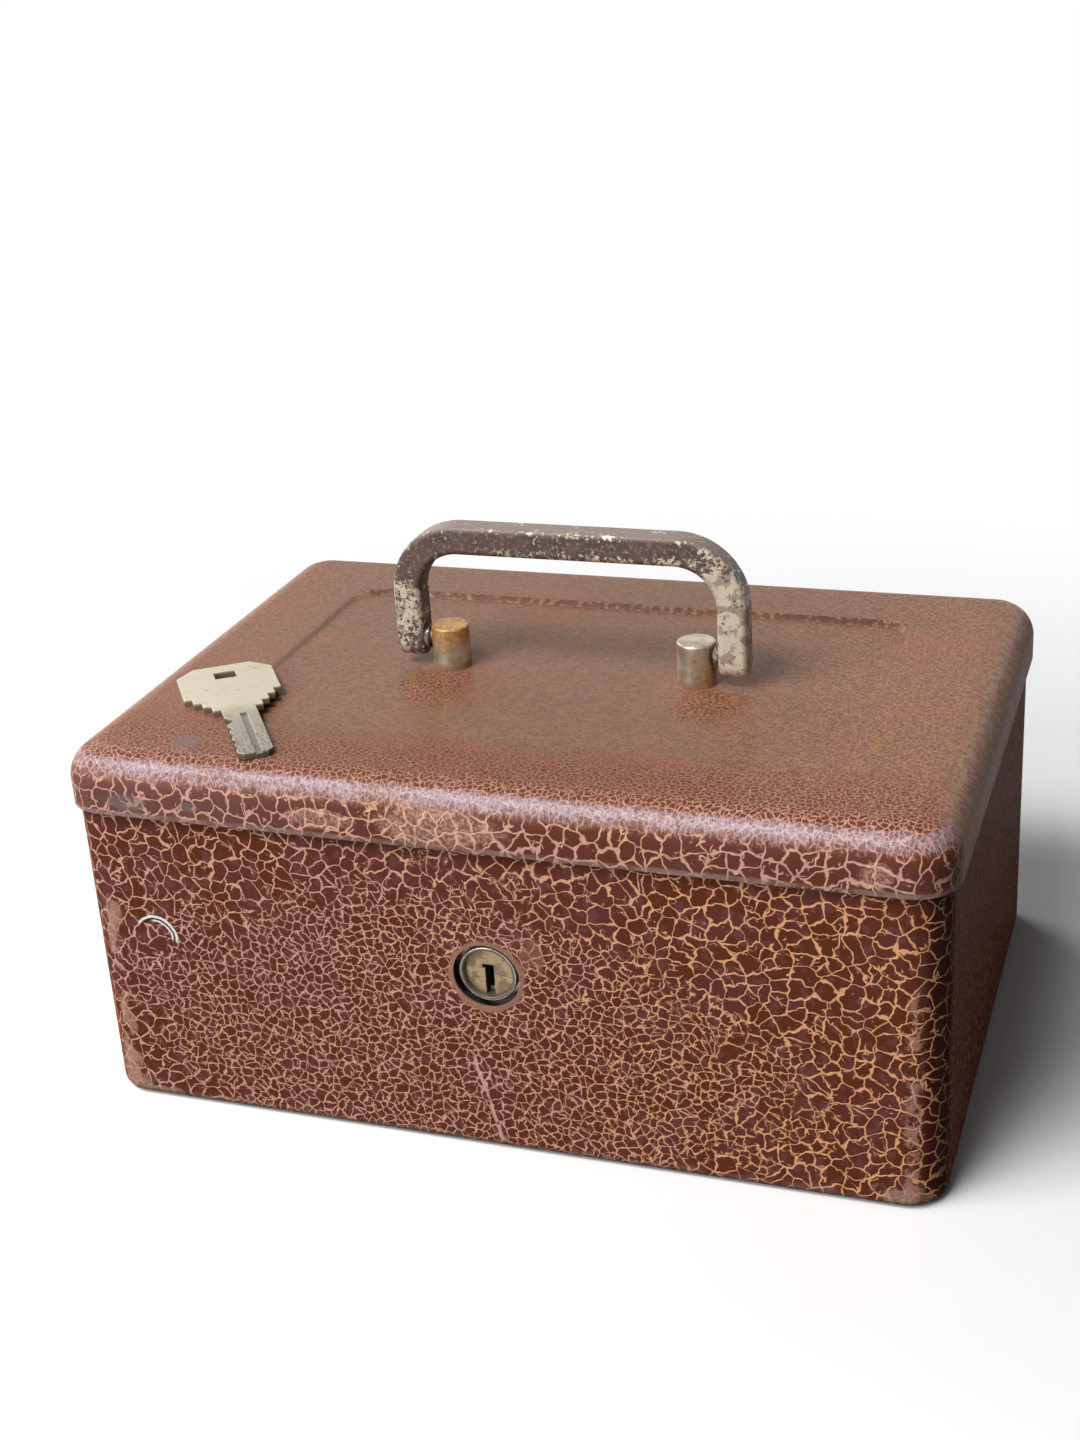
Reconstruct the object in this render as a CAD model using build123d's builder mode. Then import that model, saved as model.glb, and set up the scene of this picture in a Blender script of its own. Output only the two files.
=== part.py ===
from build123d import *
import os
from math import cos, radians, sin, tan

# Old steel cash strongbox: a drawn body, a hinged lid with a recessed panel and a
# bail handle, a cylinder lock that drives a sliding bolt, a coin tray and a key.
# Millimetres. X runs along the front, Y from front to back, Z up, and the origin
# is the middle of the flat base. Heights and depths of the lock's pieces count
# from the lock's own axis, at x = 0 and lock_height.

os.makedirs("parts", exist_ok=True)

# Body and lid, pressed from sheet
box_length = 200.0
box_width = 138.0
box_height = 90.0
sheet = 0.9
body_corner_radius = 9.0
base_edge_radius = 2.5
rim_drop = 7.0
rim_hem_depth = 6.0
skirt_depth = 14.0
lid_gap = 0.5
lid_edge_radius = 8.0
panel_side_margin = 27.4
panel_front_margin = 26.0
panel_depth = 1.2
panel_corner_radius = 8.0
panel_slope = 45.0
panel_edge_radius = 1.0

# Hinges
hinge_inset = 40.0
hinge_length = 30.0
lid_knuckle_length = 11.0
knuckle_radius = 2.5
knuckle_side_gap = 0.25
knuckle_lid_gap = 0.3
hinge_pin_radius = 1.2
hinge_running_gap = 0.05
hinge_pin_head_radius = 1.9
hinge_pin_head = 0.6
leaf_sheet = 1.0
body_leaf_height = 16.0
lid_leaf_height = 6.0
leaf_edge_gap = 0.5
lid_stop_angle = 105.3
stop_gap = 0.02
stop_nose_length = 2.2
rivet_radius = 1.0
rivet_head_radius = 1.7
rivet_head = 0.9
rivet_upset = 0.6
body_rivet_pitch = 10.0
body_rivet_drop = 10.0
lid_rivet_offset = 9.0
lid_rivet_rise = 4.25

# Bail handle and its posts
post_spacing = 61.4
post_radius = 4.6
post_height = 10.6
post_edge = 0.5
post_tail_radius = 3.0
post_peen_radius = 4.2
post_peen = 1.2
pivot_height = 7.2
pivot_pin_radius = 2.0
pivot_running_gap = 0.05
pivot_pin_depth = 7.5
pivot_end_gap = 0.4
collar_radius = 3.0
collar_gap = 0.2
leg_gap = 1.2
leg_tail = 1.3
bar_width = 7.0
bar_depth = 7.0
bar_edge = 1.3
handle_rise = 29.1
handle_corner_radius = 13.5
stiffener_length = 88.0
stiffener_width = 18.0
stiffener_sheet = 1.5
stiffener_corner_radius = 3.0

# Lock cylinder
lock_height = 45.0
lock_hole_radius = 7.75
barrel_radius = 6.65
barrel_recess = 1.0
barrel_length = 20.8
barrel_flange_radius = 8.5
barrel_flange = 1.2
barrel_rim_edge = 0.25
plug_head_radius = 5.75
plug_head_length = 2.4
plug_radius = 5.2
plug_recess = 1.3
plug_running_gap = 0.05
plug_end_gap = 0.2
keyway_width = 2.1
keyway_top = 1.7
keyway_ward = 0.6
keyway_ward_height = 1.0
wafer_count = 4
wafer_first = 4.6
wafer_pitch = 3.2
wafer_sheet = 1.2
wafer_half_width = 2.4
wafer_top = 4.4
wafer_bottom = -3.0
wafer_window_gap = 0.15
wafer_clearance = 0.05
wafer_spring_width = 1.4
wafer_spring_sheet = 0.35
tang_radius = 4.4
tang_flat = 3.6
clip_radius = 5.3
clip_sheet = 0.8

# Lock case, cam and bolt
case_sheet = 1.2
case_stand_off = 4.1
case_half_width = 26.0
case_foot = 7.0
case_top = 19.0
case_bottom = 14.0
nut_across_flats = 17.0
nut_thickness = 3.0
cam_sheet = 1.6
cam_hub_radius = 6.2
cam_tip_radius = 3.0
cam_pin_radius = 1.5
cam_pin_throw = 7.0
cam_start_angle = -45.0
bolt_sheet = 1.6
bolt_cam_gap = 0.3
bolt_tail = 30.5
bolt_shoulder = 5.2
bolt_nose_length = 9.8
bolt_nose_height = 6.6
bolt_top = 19.3
bolt_bottom = 3.6
bolt_fork_gap = 0.3
bolt_slot_gap = 0.15
bolt_face_gap = 0.2
pillar_places = (-16.0, 0.0)
pillar_rise = 14.4
pillar_radius = 2.5
pillar_neck_radius = 1.5
pillar_head_radius = 3.0
pillar_head = 1.0

# Staple on the lid, which the bolt enters
staple_gap = 0.6
staple_width = 16.0
staple_notch_depth = 10.0
staple_notch_gap = 0.4
staple_hook_height = 3.4
staple_foot = 12.0
staple_sheet = 1.6

# Coin tray and the ledges that carry it
tray_sheet = 0.7
tray_side_gap = 0.6
tray_height = 24.5
tray_rim_drop = 7.0
tray_corner_radius = 7.0
tray_edge_radius = 1.6
tray_bay_half_width = 34.0
tray_bay_gap = 4.0
divider_sheet = 0.7
divider_drop = 2.0
rear_divider_y = 16.0
coin_pocket_count = 5
coin_sheet = 0.6
coin_side_gap = 0.3
coin_sag = 9.0
lift_tab_width = 18.0
lift_tab_height = 8.0
lift_tab_reach = 6.0
lift_tab_sheet = 1.0
ledge_length = 100.0
ledge_reach = 8.0
ledge_flange = 10.0
ledge_sheet = 1.0

# Key, lying on the lid. Its lengths count from the shoulder of the blade.
key_sheet = 1.6
key_blade_half_width = 4.0
key_blade_length = 26.5
key_bow_half_width = 11.5
key_bow_top = 28.3
key_bow_top_half_width = 7.0
key_bow_corner = 4.6
key_bow_side_end = 9.4
key_step_count = 4
key_step_length = 3.0
key_hole_width = 5.2
key_hole_length = 4.2
key_hole_place = 22.0
key_tip_chamfer = 1.3
key_groove_width = 1.6
key_groove_depth = 0.5
key_groove_start = 3.0
key_groove_offset = 0.6
key_cut_places = (6.8, 11.4, 15.2, 19.0, 22.4)
key_cut_depths = (1.9, 0.9, 0.6, 1.1, 0.7)
key_cut_half_widths = (2.4, 1.5, 1.2, 1.3, 1.1)
key_inset_x = 32.0
key_inset_y = 27.7
key_heading = -55.0

# Lines that several pieces share
SIDES = {"left": -1, "right": 1}
rim_z = box_height - rim_drop
skirt_z = box_height - skirt_depth
wall_half_length = box_length / 2 - sheet
wall_half_width = box_width / 2 - sheet
lid_length = box_length + 2 * (lid_gap + sheet)
lid_width = box_width + 2 * (lid_gap + sheet)
lid_corner_radius = body_corner_radius + lid_gap + sheet
panel_length = lid_length - 2 * panel_side_margin
panel_width = lid_width - 2 * panel_front_margin
panel_z = box_height - panel_depth
panel_under_z = panel_z - sheet
stiffener_z = panel_under_z - stiffener_sheet
hinge_y = lid_width / 2 + knuckle_lid_gap + knuckle_radius
hinge_z = skirt_z
leaf_back_y = box_width / 2 + leaf_sheet
lid_leaf_back_y = lid_width / 2 + leaf_sheet
body_rivet_z = hinge_z - body_rivet_drop
lid_rivet_z = hinge_z + lid_rivet_rise
lid_knuckle_half = lid_knuckle_length / 2
body_knuckle_start = lid_knuckle_half + knuckle_side_gap
pivot_z = panel_z + pivot_height
post_side = post_spacing / 2 + post_radius
leg_inner_x = post_side + leg_gap
leg_outer_x = leg_inner_x + bar_width
barrel_front_y = -box_width / 2 + barrel_recess
barrel_back_y = barrel_front_y + barrel_length
plug_front_y = barrel_front_y + plug_recess
plug_shoulder_y = plug_front_y + plug_head_length
cam_front_y = barrel_back_y + plug_end_gap
cam_back_y = cam_front_y + cam_sheet
clip_back_y = cam_back_y + clip_sheet
bolt_front_y = clip_back_y + bolt_cam_gap
bolt_back_y = bolt_front_y + bolt_sheet
case_front_y = -wall_half_width + case_stand_off
case_back_y = case_front_y + case_sheet
cam_pin_x = cam_pin_throw * sin(radians(cam_start_angle))
cam_pin_z = lock_height + cam_pin_throw * cos(radians(cam_start_angle))
bolt_travel = 2 * abs(cam_pin_x)
bolt_nose_tip = bolt_shoulder + bolt_nose_length
bolt_top_z = lock_height + bolt_top
bolt_nose_z = bolt_top_z - bolt_nose_height
pillar_z = lock_height + pillar_rise
wafer_places = [plug_shoulder_y + wafer_first + place * wafer_pitch for place in range(wafer_count)]
tray_half_length = wall_half_length - sheet - tray_side_gap
tray_half_width = wall_half_width - sheet - tray_side_gap
tray_top_z = rim_z - tray_rim_drop
tray_floor_z = tray_top_z - tray_height
tray_bay_y = bolt_back_y + tray_bay_gap
tray_inside = tray_half_length - tray_sheet
pocket_front_y = tray_bay_y + tray_sheet
divider_z = tray_floor_z + tray_sheet
divider_top_z = tray_top_z - divider_drop
pocket_width = (2 * tray_inside - (coin_pocket_count - 1) * divider_sheet) / coin_pocket_count
pocket_pitch = pocket_width + divider_sheet


def save(piece, name):
    """Label one finished piece and write it as a node."""
    piece.part.label = name
    export_step(piece.part, f"parts/{name}.step")


def slab(length, width, corner_radius, z_from, z_to, mode=Mode.ADD):
    """A plate with rounded corners, centred on the box, between two heights."""
    with BuildSketch(Plane.XY.offset(z_from)) as outline:
        RectangleRounded(length, width, corner_radius)
    extrude(outline.sketch, amount=z_to - z_from, mode=mode)


def block(x_from, x_to, y_from, y_to, z_from, z_to, mode=Mode.ADD):
    """A box between three pairs of limits, given in either order."""
    with Locations(((x_from + x_to) / 2, (y_from + y_to) / 2, (z_from + z_to) / 2)):
        Box(abs(x_to - x_from), abs(y_to - y_from), abs(z_to - z_from), mode=mode)


def rod_x(y, z, radius, x_from, x_to, mode=Mode.ADD):
    """A round rod along X."""
    with BuildSketch(Plane.YZ.offset(x_from)) as section:
        with Locations((y, z)):
            Circle(radius)
    extrude(section.sketch, amount=x_to - x_from, mode=mode)


def rod_y(x, z, radius, y_from, y_to, mode=Mode.ADD):
    """A round rod along Y."""
    with BuildSketch(Plane.XZ.offset(-y_from)) as section:
        with Locations((x, z)):
            Circle(radius)
    extrude(section.sketch, amount=y_from - y_to, mode=mode)


def rod_z(x, y, radius, z_from, z_to, mode=Mode.ADD):
    """A round rod along Z."""
    with BuildSketch(Plane.XY.offset(z_from)) as section:
        with Locations((x, y)):
            Circle(radius)
    extrude(section.sketch, amount=z_to - z_from, mode=mode)


def domed_head(x, y, z, radius, height):
    """A round rivet head on the face at y, bulging to the back."""
    ball = (radius**2 + height**2) / (2 * height)
    with BuildPart(mode=Mode.PRIVATE) as head:
        with Locations((x, y + height - ball, z)):
            Sphere(ball)
        with Locations((x, y + ball, z)):
            Box(4 * ball, 2 * ball, 4 * ball, mode=Mode.INTERSECT)
    add(head.part)


def hinge_centre(side):
    """The middle of the left or right hinge along X."""
    return side * (box_length / 2 - hinge_inset)


def body_rivet_xs(side):
    """Where the rivets of one body leaf stand along X."""
    return [hinge_centre(side) + step * body_rivet_pitch for step in (-1, 0, 1)]


def lid_rivet_xs(side):
    """Where the rivets of one lid leaf stand along X."""
    return [hinge_centre(side) + step * lid_rivet_offset for step in (-1, 1)]


# Body: a drawn pan with a hem folded inwards round its rim
with BuildPart() as body_room:
    slab(2 * wall_half_length, 2 * wall_half_width, body_corner_radius - sheet, sheet, box_height)
    fillet(body_room.faces().sort_by(Axis.Z)[0].edges(), base_edge_radius - sheet)

with BuildPart() as rim_room:
    hem_inset = 2 * sheet
    slab(
        box_length - 2 * hem_inset,
        box_width - 2 * hem_inset,
        body_corner_radius - hem_inset,
        rim_z - rim_hem_depth,
        box_height,
    )

with BuildPart() as body_shell:
    slab(box_length, box_width, body_corner_radius, 0, rim_z)
    fillet(body_shell.faces().sort_by(Axis.Z)[0].edges(), base_edge_radius)
    add(body_room.part, mode=Mode.SUBTRACT)
    slab(
        2 * wall_half_length,
        2 * wall_half_width,
        body_corner_radius - sheet,
        rim_z - rim_hem_depth,
        rim_z,
    )
    add(rim_room.part, mode=Mode.SUBTRACT)
    rod_y(0, lock_height, lock_hole_radius, -box_width / 2, -wall_half_width, Mode.SUBTRACT)
    for side in SIDES.values():
        for rivet_x in body_rivet_xs(side):
            rod_y(rivet_x, body_rivet_z, rivet_radius, wall_half_width, box_width / 2, Mode.SUBTRACT)
save(body_shell, "body_shell")

# Ledges: angle strips welded inside the end walls, which carry the tray
for name, side in SIDES.items():
    with BuildPart() as ledge:
        wall_x = side * wall_half_length
        half = ledge_length / 2
        block(wall_x, wall_x - side * ledge_reach, -half, half, tray_floor_z - ledge_sheet, tray_floor_z)
        block(wall_x, wall_x - side * ledge_sheet, -half, half, tray_floor_z - ledge_flange, tray_floor_z)
    save(ledge, f"{name}_tray_ledge")

# Lid: a drawn cover with a shallow recessed panel
with BuildPart() as lid_room:
    slab(
        lid_length - 2 * sheet,
        lid_width - 2 * sheet,
        lid_corner_radius - sheet,
        skirt_z,
        box_height - sheet,
    )
    fillet(lid_room.faces().sort_by(Axis.Z)[-1].edges(), lid_edge_radius - sheet)
    with BuildSketch(Plane.XY.offset(box_height - sheet)) as panel_underside:
        panel_bend = sheet * tan(radians(panel_slope / 2))
        RectangleRounded(
            panel_length + 2 * panel_bend,
            panel_width + 2 * panel_bend,
            panel_corner_radius + panel_bend,
        )
    extrude(panel_underside.sketch, amount=-panel_depth, taper=panel_slope, mode=Mode.SUBTRACT)

with BuildPart() as lid_shell:
    slab(lid_length, lid_width, lid_corner_radius, skirt_z, box_height)
    fillet(lid_shell.faces().sort_by(Axis.Z)[-1].edges(), lid_edge_radius)
    add(lid_room.part, mode=Mode.SUBTRACT)
    with BuildSketch(Plane.XY.offset(box_height)) as panel_outline:
        RectangleRounded(panel_length, panel_width, panel_corner_radius)
    extrude(panel_outline.sketch, amount=-panel_depth, taper=panel_slope, mode=Mode.SUBTRACT)
    top_face = lid_shell.faces().filter_by(Axis.Z).sort_by(Axis.Z)[-1]
    fillet(top_face.inner_wires()[0].edges(), panel_edge_radius)
    for side in SIDES.values():
        rod_z(side * post_spacing / 2, 0, post_tail_radius, panel_under_z, panel_z, Mode.SUBTRACT)
        for rivet_x in lid_rivet_xs(side):
            rod_y(rivet_x, lid_rivet_z, rivet_radius, lid_width / 2 - sheet, lid_width / 2, Mode.SUBTRACT)
save(lid_shell, "lid_shell")

# Handle stiffener: a strip under the panel that the posts are peened through
with BuildPart() as handle_stiffener:
    slab(stiffener_length, stiffener_width, stiffener_corner_radius, stiffener_z, panel_under_z)
    for side in SIDES.values():
        rod_z(side * post_spacing / 2, 0, post_tail_radius, stiffener_z, panel_under_z, Mode.SUBTRACT)
save(handle_stiffener, "handle_stiffener")

# Handle posts: turned studs with a cross hole for the pivot pin
for name, side in SIDES.items():
    with BuildPart() as post:
        post_x = side * post_spacing / 2
        rod_z(post_x, 0, post_radius, panel_z, panel_z + post_height)
        fillet(post.edges().sort_by(Axis.Z)[-1], post_edge)
        rod_z(post_x, 0, post_tail_radius, stiffener_z, panel_z)
        rod_z(post_x, 0, post_peen_radius, stiffener_z - post_peen, stiffener_z)
        chamfer(post.edges().sort_by(Axis.Z)[0], post_peen / 2)
        rod_x(
            0,
            pivot_z,
            pivot_pin_radius + pivot_running_gap,
            side * (post_side - pivot_pin_depth),
            side * (post_side + leg_gap),
            Mode.SUBTRACT,
        )
    save(post, f"{name}_handle_post")

# Handle: one bar bent to a bail, its leg ends rounded just below the pivot
with BuildPart() as handle_bail:
    with BuildSketch(Plane.XZ.offset(bar_depth / 2)) as bail_outline:
        leg_x = (leg_inner_x + leg_outer_x) / 2
        grip_z = pivot_z + handle_rise - bar_width / 2
        leg_end_z = pivot_z - leg_tail
        with BuildLine() as bail_path:
            FilletPolyline(
                (-leg_x, leg_end_z),
                (-leg_x, grip_z),
                (leg_x, grip_z),
                (leg_x, leg_end_z),
                radius=handle_corner_radius,
            )
        trace(bail_path.line, bar_width)
    extrude(bail_outline.sketch, amount=-bar_depth)
    for side in SIDES.values():
        rod_x(0, leg_end_z, bar_depth / 2, side * leg_inner_x, side * leg_outer_x)
    sharp_edges = [
        edge
        for edge in handle_bail.edges()
        if abs(edge.center().Z - leg_end_z) > bar_edge
    ]
    fillet(sharp_edges, bar_edge)
    for side in SIDES.values():
        rod_x(0, pivot_z, pivot_pin_radius, side * leg_inner_x, side * leg_outer_x, Mode.SUBTRACT)
save(handle_bail, "handle_bail")

# Pivot pins: fast in the handle's legs, turning in the posts, with a collar between
for name, side in SIDES.items():
    with BuildPart() as pivot_pin:
        pin_tip = post_side - pivot_pin_depth + pivot_end_gap
        rod_x(0, pivot_z, pivot_pin_radius, side * pin_tip, side * leg_outer_x)
        rod_x(0, pivot_z, collar_radius, side * (post_side + collar_gap), side * leg_inner_x)
    save(pivot_pin, f"{name}_pivot_pin")

# Hinges: body leaf with two knuckles, lid leaf with one, and a headed pin.
# A square nose on the lid's knuckle meets the body leaf when the lid is open.
for name, side in SIDES.items():
    middle = hinge_centre(side)
    hinge_ends = (middle - hinge_length / 2, middle + hinge_length / 2)
    body_knuckles = (
        (hinge_ends[0], middle - body_knuckle_start),
        (middle + body_knuckle_start, hinge_ends[1]),
    )
    with BuildPart() as body_leaf:
        block(*hinge_ends, box_width / 2, leaf_back_y, hinge_z - body_leaf_height, hinge_z - leaf_edge_gap)
        strap_z = hinge_z - knuckle_radius
        for knuckle in body_knuckles:
            block(*knuckle, box_width / 2, hinge_y, strap_z, strap_z + leaf_sheet)
            rod_x(hinge_y, hinge_z, knuckle_radius, *knuckle)
            rod_x(hinge_y, hinge_z, hinge_pin_radius, *knuckle, Mode.SUBTRACT)
        for rivet_x in body_rivet_xs(side):
            rod_y(rivet_x, body_rivet_z, rivet_radius, box_width / 2, leaf_back_y, Mode.SUBTRACT)
    save(body_leaf, f"{name}_hinge_body_leaf")

    with BuildPart() as lid_leaf:
        lid_knuckle = (middle - lid_knuckle_half, middle + lid_knuckle_half)
        leaf_top = hinge_z + lid_leaf_height
        block(*hinge_ends, lid_width / 2, lid_leaf_back_y, hinge_z + knuckle_radius, leaf_top)
        block(*lid_knuckle, lid_width / 2, lid_leaf_back_y, hinge_z, leaf_top)
        rod_x(hinge_y, hinge_z, knuckle_radius, *lid_knuckle)
        with BuildSketch(Plane.YZ.offset(lid_knuckle[0])) as nose:
            stop_distance = hinge_y - leaf_back_y - stop_gap
            down = Vector(-cos(radians(lid_stop_angle)), -sin(radians(lid_stop_angle)))
            out = Vector(sin(radians(lid_stop_angle)), -cos(radians(lid_stop_angle)))
            pin = Vector(hinge_y, hinge_z)
            foot = pin + down * stop_distance
            Polygon(pin, foot, foot + out * stop_nose_length, pin + out * stop_nose_length, align=None)
        extrude(nose.sketch, amount=lid_knuckle_length)
        rod_x(hinge_y, hinge_z, hinge_pin_radius + hinge_running_gap, *lid_knuckle, Mode.SUBTRACT)
        for rivet_x in lid_rivet_xs(side):
            rod_y(rivet_x, lid_rivet_z, rivet_radius, lid_width / 2, lid_leaf_back_y, Mode.SUBTRACT)
    save(lid_leaf, f"{name}_hinge_lid_leaf")

    with BuildPart() as hinge_pin:
        rod_x(hinge_y, hinge_z, hinge_pin_radius, *hinge_ends)
        rod_x(hinge_y, hinge_z, hinge_pin_head_radius, hinge_ends[0] - hinge_pin_head, hinge_ends[0])
        rod_x(hinge_y, hinge_z, hinge_pin_head_radius, hinge_ends[1], hinge_ends[1] + hinge_pin_head)
        pin_ends = hinge_pin.edges().filter_by(GeomType.CIRCLE).group_by(Axis.X)
        chamfer(pin_ends[0] + pin_ends[-1], hinge_pin_head / 2)
    save(hinge_pin, f"{name}_hinge_pin")

# Hinge rivets: domed outside, upset inside the body and flush inside the lid
with BuildPart() as body_rivets:
    for side in SIDES.values():
        for rivet_x in body_rivet_xs(side):
            rod_y(rivet_x, body_rivet_z, rivet_radius, wall_half_width, leaf_back_y)
            rod_y(rivet_x, body_rivet_z, rivet_head_radius, wall_half_width - rivet_upset, wall_half_width)
            domed_head(rivet_x, leaf_back_y, body_rivet_z, rivet_head_radius, rivet_head)
save(body_rivets, "hinge_body_rivets")

with BuildPart() as lid_rivets:
    for side in SIDES.values():
        for rivet_x in lid_rivet_xs(side):
            rod_y(rivet_x, lid_rivet_z, rivet_radius, lid_width / 2 - sheet, lid_leaf_back_y)
            domed_head(rivet_x, lid_leaf_back_y, lid_rivet_z, rivet_head_radius, rivet_head)
save(lid_rivets, "hinge_lid_rivets")

# Lock case: a pressed bracket on two feet, welded inside the front wall
with BuildPart() as lock_case:
    case_z = (lock_height - case_bottom, lock_height + case_top)
    block(-case_half_width, case_half_width, case_front_y, case_back_y, *case_z)
    for side in SIDES.values():
        flange_x = side * case_half_width
        flange_in_x = flange_x - side * case_sheet
        foot_end_x = side * (case_half_width + case_foot)
        block(flange_x, flange_in_x, -wall_half_width, case_back_y, *case_z)
        block(flange_in_x, foot_end_x, -wall_half_width, case_sheet - wall_half_width, *case_z)
    rod_y(0, lock_height, barrel_radius, case_front_y, case_back_y, Mode.SUBTRACT)
    for pillar_x in pillar_places:
        rod_y(pillar_x, pillar_z, pillar_neck_radius, case_front_y, case_back_y, Mode.SUBTRACT)
save(lock_case, "lock_case")

# Bolt guide pillars: shouldered studs that carry the bolt behind the cylinder
with BuildPart() as pillars:
    for pillar_x in pillar_places:
        neck_end_y = bolt_back_y + bolt_face_gap
        rod_y(pillar_x, pillar_z, pillar_neck_radius, case_front_y, neck_end_y)
        rod_y(pillar_x, pillar_z, pillar_radius, case_back_y, bolt_front_y - bolt_face_gap)
        rod_y(pillar_x, pillar_z, pillar_head_radius, neck_end_y, neck_end_y + pillar_head)
save(pillars, "bolt_guide_pillars")

# Lock barrel: the recessed ring seen from the front, with a flange and a stepped bore
with BuildPart() as lock_barrel:
    rod_y(0, lock_height, barrel_radius, barrel_front_y, barrel_back_y)
    rod_y(0, lock_height, barrel_flange_radius, case_front_y - barrel_flange, case_front_y)
    head_room = plug_head_radius + plug_running_gap
    head_room_end = plug_shoulder_y + plug_running_gap
    rod_y(0, lock_height, head_room, barrel_front_y, head_room_end, Mode.SUBTRACT)
    rod_y(0, lock_height, plug_radius + plug_running_gap, head_room_end, barrel_back_y, Mode.SUBTRACT)
    fillet(lock_barrel.edges().filter_by(GeomType.CIRCLE).group_by(Axis.Y)[0], barrel_rim_edge)
save(lock_barrel, "lock_barrel")

with BuildPart() as barrel_nut:
    with BuildSketch(Plane.XZ.offset(-case_back_y)) as nut_outline:
        with Locations((0, lock_height)):
            RegularPolygon(nut_across_flats / 2, 6, major_radius=False)
            Circle(barrel_radius, mode=Mode.SUBTRACT)
    extrude(nut_outline.sketch, amount=-nut_thickness)
save(barrel_nut, "barrel_nut")


def tang(y_from, y_to, mode=Mode.ADD):
    """The round tang with two flats that carries the cam, at the back of the plug."""
    with BuildSketch(Plane.XZ.offset(-y_from)) as section:
        with Locations((0, lock_height)):
            Circle(tang_radius)
            Rectangle(2 * tang_flat, 2 * tang_radius, mode=Mode.INTERSECT)
    extrude(section.sketch, amount=y_from - y_to, mode=mode)


# Plug: turns in the barrel; its keyway is open along the bottom and runs right through
with BuildPart() as lock_plug:
    rod_y(0, lock_height, plug_head_radius, plug_front_y, plug_shoulder_y)
    rod_y(0, lock_height, plug_radius, plug_shoulder_y, cam_front_y)
    tang(cam_front_y, clip_back_y)
    keyway_side = keyway_width / 2
    keyway_top_z = lock_height + keyway_top
    keyway_bottom_z = lock_height - 2 * plug_head_radius
    block(-keyway_side, keyway_side, plug_front_y, clip_back_y, keyway_bottom_z, keyway_top_z, Mode.SUBTRACT)
    block(
        -keyway_side - keyway_ward,
        0,
        plug_front_y,
        cam_front_y,
        keyway_top_z - keyway_ward_height,
        keyway_top_z,
        Mode.SUBTRACT,
    )
    slot_half = wafer_sheet / 2 + wafer_clearance
    slot_side = wafer_half_width + wafer_clearance
    slot_z = (lock_height + wafer_bottom - wafer_clearance, lock_height + wafer_top + wafer_clearance)
    for wafer_y in wafer_places:
        block(-slot_side, slot_side, wafer_y - slot_half, wafer_y + slot_half, *slot_z, Mode.SUBTRACT)
    groove_side = wafer_spring_width / 2 + wafer_clearance
    groove_y = (wafer_places[0] - wafer_sheet, wafer_places[-1] + wafer_sheet)
    groove_z = (lock_height + wafer_top, lock_height + plug_radius)
    block(-groove_side, groove_side, *groove_y, *groove_z, Mode.SUBTRACT)
save(lock_plug, "lock_plug")

with BuildPart() as tumbler_wafers:
    for wafer_y in wafer_places:
        wafer_y_limits = (wafer_y - wafer_sheet / 2, wafer_y + wafer_sheet / 2)
        wafer_z = (lock_height + wafer_bottom, lock_height + wafer_top)
        window_side = keyway_side + wafer_window_gap
        window_z = (lock_height + wafer_bottom, keyway_top_z + wafer_window_gap)
        block(-wafer_half_width, wafer_half_width, *wafer_y_limits, *wafer_z)
        block(-window_side, window_side, *wafer_y_limits, *window_z, Mode.SUBTRACT)
save(tumbler_wafers, "tumbler_wafers")

with BuildPart() as wafer_spring:
    spring_side = wafer_spring_width / 2
    spring_z = lock_height + wafer_top + wafer_clearance
    block(-spring_side, spring_side, *groove_y, spring_z, spring_z + wafer_spring_sheet)
save(wafer_spring, "wafer_spring")

# Cam: turns with the plug and carries the pin that drives the bolt
with BuildPart() as lock_cam:
    with BuildSketch(Plane.XZ.offset(-cam_front_y)) as cam_outline:
        with Locations((0, lock_height)):
            Circle(cam_hub_radius)
        with Locations((cam_pin_x, cam_pin_z)):
            Circle(cam_tip_radius)
        make_hull()
    extrude(cam_outline.sketch, amount=-cam_sheet)
    tang(cam_front_y, cam_back_y, Mode.SUBTRACT)
    rod_y(cam_pin_x, cam_pin_z, cam_pin_radius, cam_front_y, cam_back_y, Mode.SUBTRACT)
save(lock_cam, "lock_cam")

with BuildPart() as cam_pin:
    rod_y(cam_pin_x, cam_pin_z, cam_pin_radius, cam_front_y, bolt_back_y + bolt_face_gap)
save(cam_pin, "cam_pin")

with BuildPart() as cam_clip:
    rod_y(0, lock_height, clip_radius, cam_back_y, clip_back_y)
    tang(cam_back_y, clip_back_y, Mode.SUBTRACT)
save(cam_clip, "cam_clip")

# Bolt: slides on the pillars; its fork straddles the cam's pin
with BuildPart() as lock_bolt:
    block(-bolt_tail, bolt_shoulder, bolt_front_y, bolt_back_y, lock_height + bolt_bottom, bolt_top_z)
    block(bolt_shoulder, bolt_nose_tip, bolt_front_y, bolt_back_y, bolt_nose_z, bolt_top_z)
    fork_side = cam_pin_radius + bolt_fork_gap
    fork_z = (lock_height + bolt_bottom, lock_height + cam_pin_throw + fork_side)
    block(cam_pin_x - fork_side, cam_pin_x + fork_side, bolt_front_y, bolt_back_y, *fork_z, Mode.SUBTRACT)
    with BuildSketch(Plane.XZ.offset(-bolt_front_y)) as guide_slots:
        for pillar_x in pillar_places:
            with Locations((pillar_x - bolt_travel / 2, pillar_z)):
                SlotCenterToCenter(bolt_travel, 2 * (pillar_neck_radius + bolt_slot_gap))
    extrude(guide_slots.sketch, amount=-bolt_sheet, mode=Mode.SUBTRACT)
save(lock_bolt, "lock_bolt")

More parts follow.
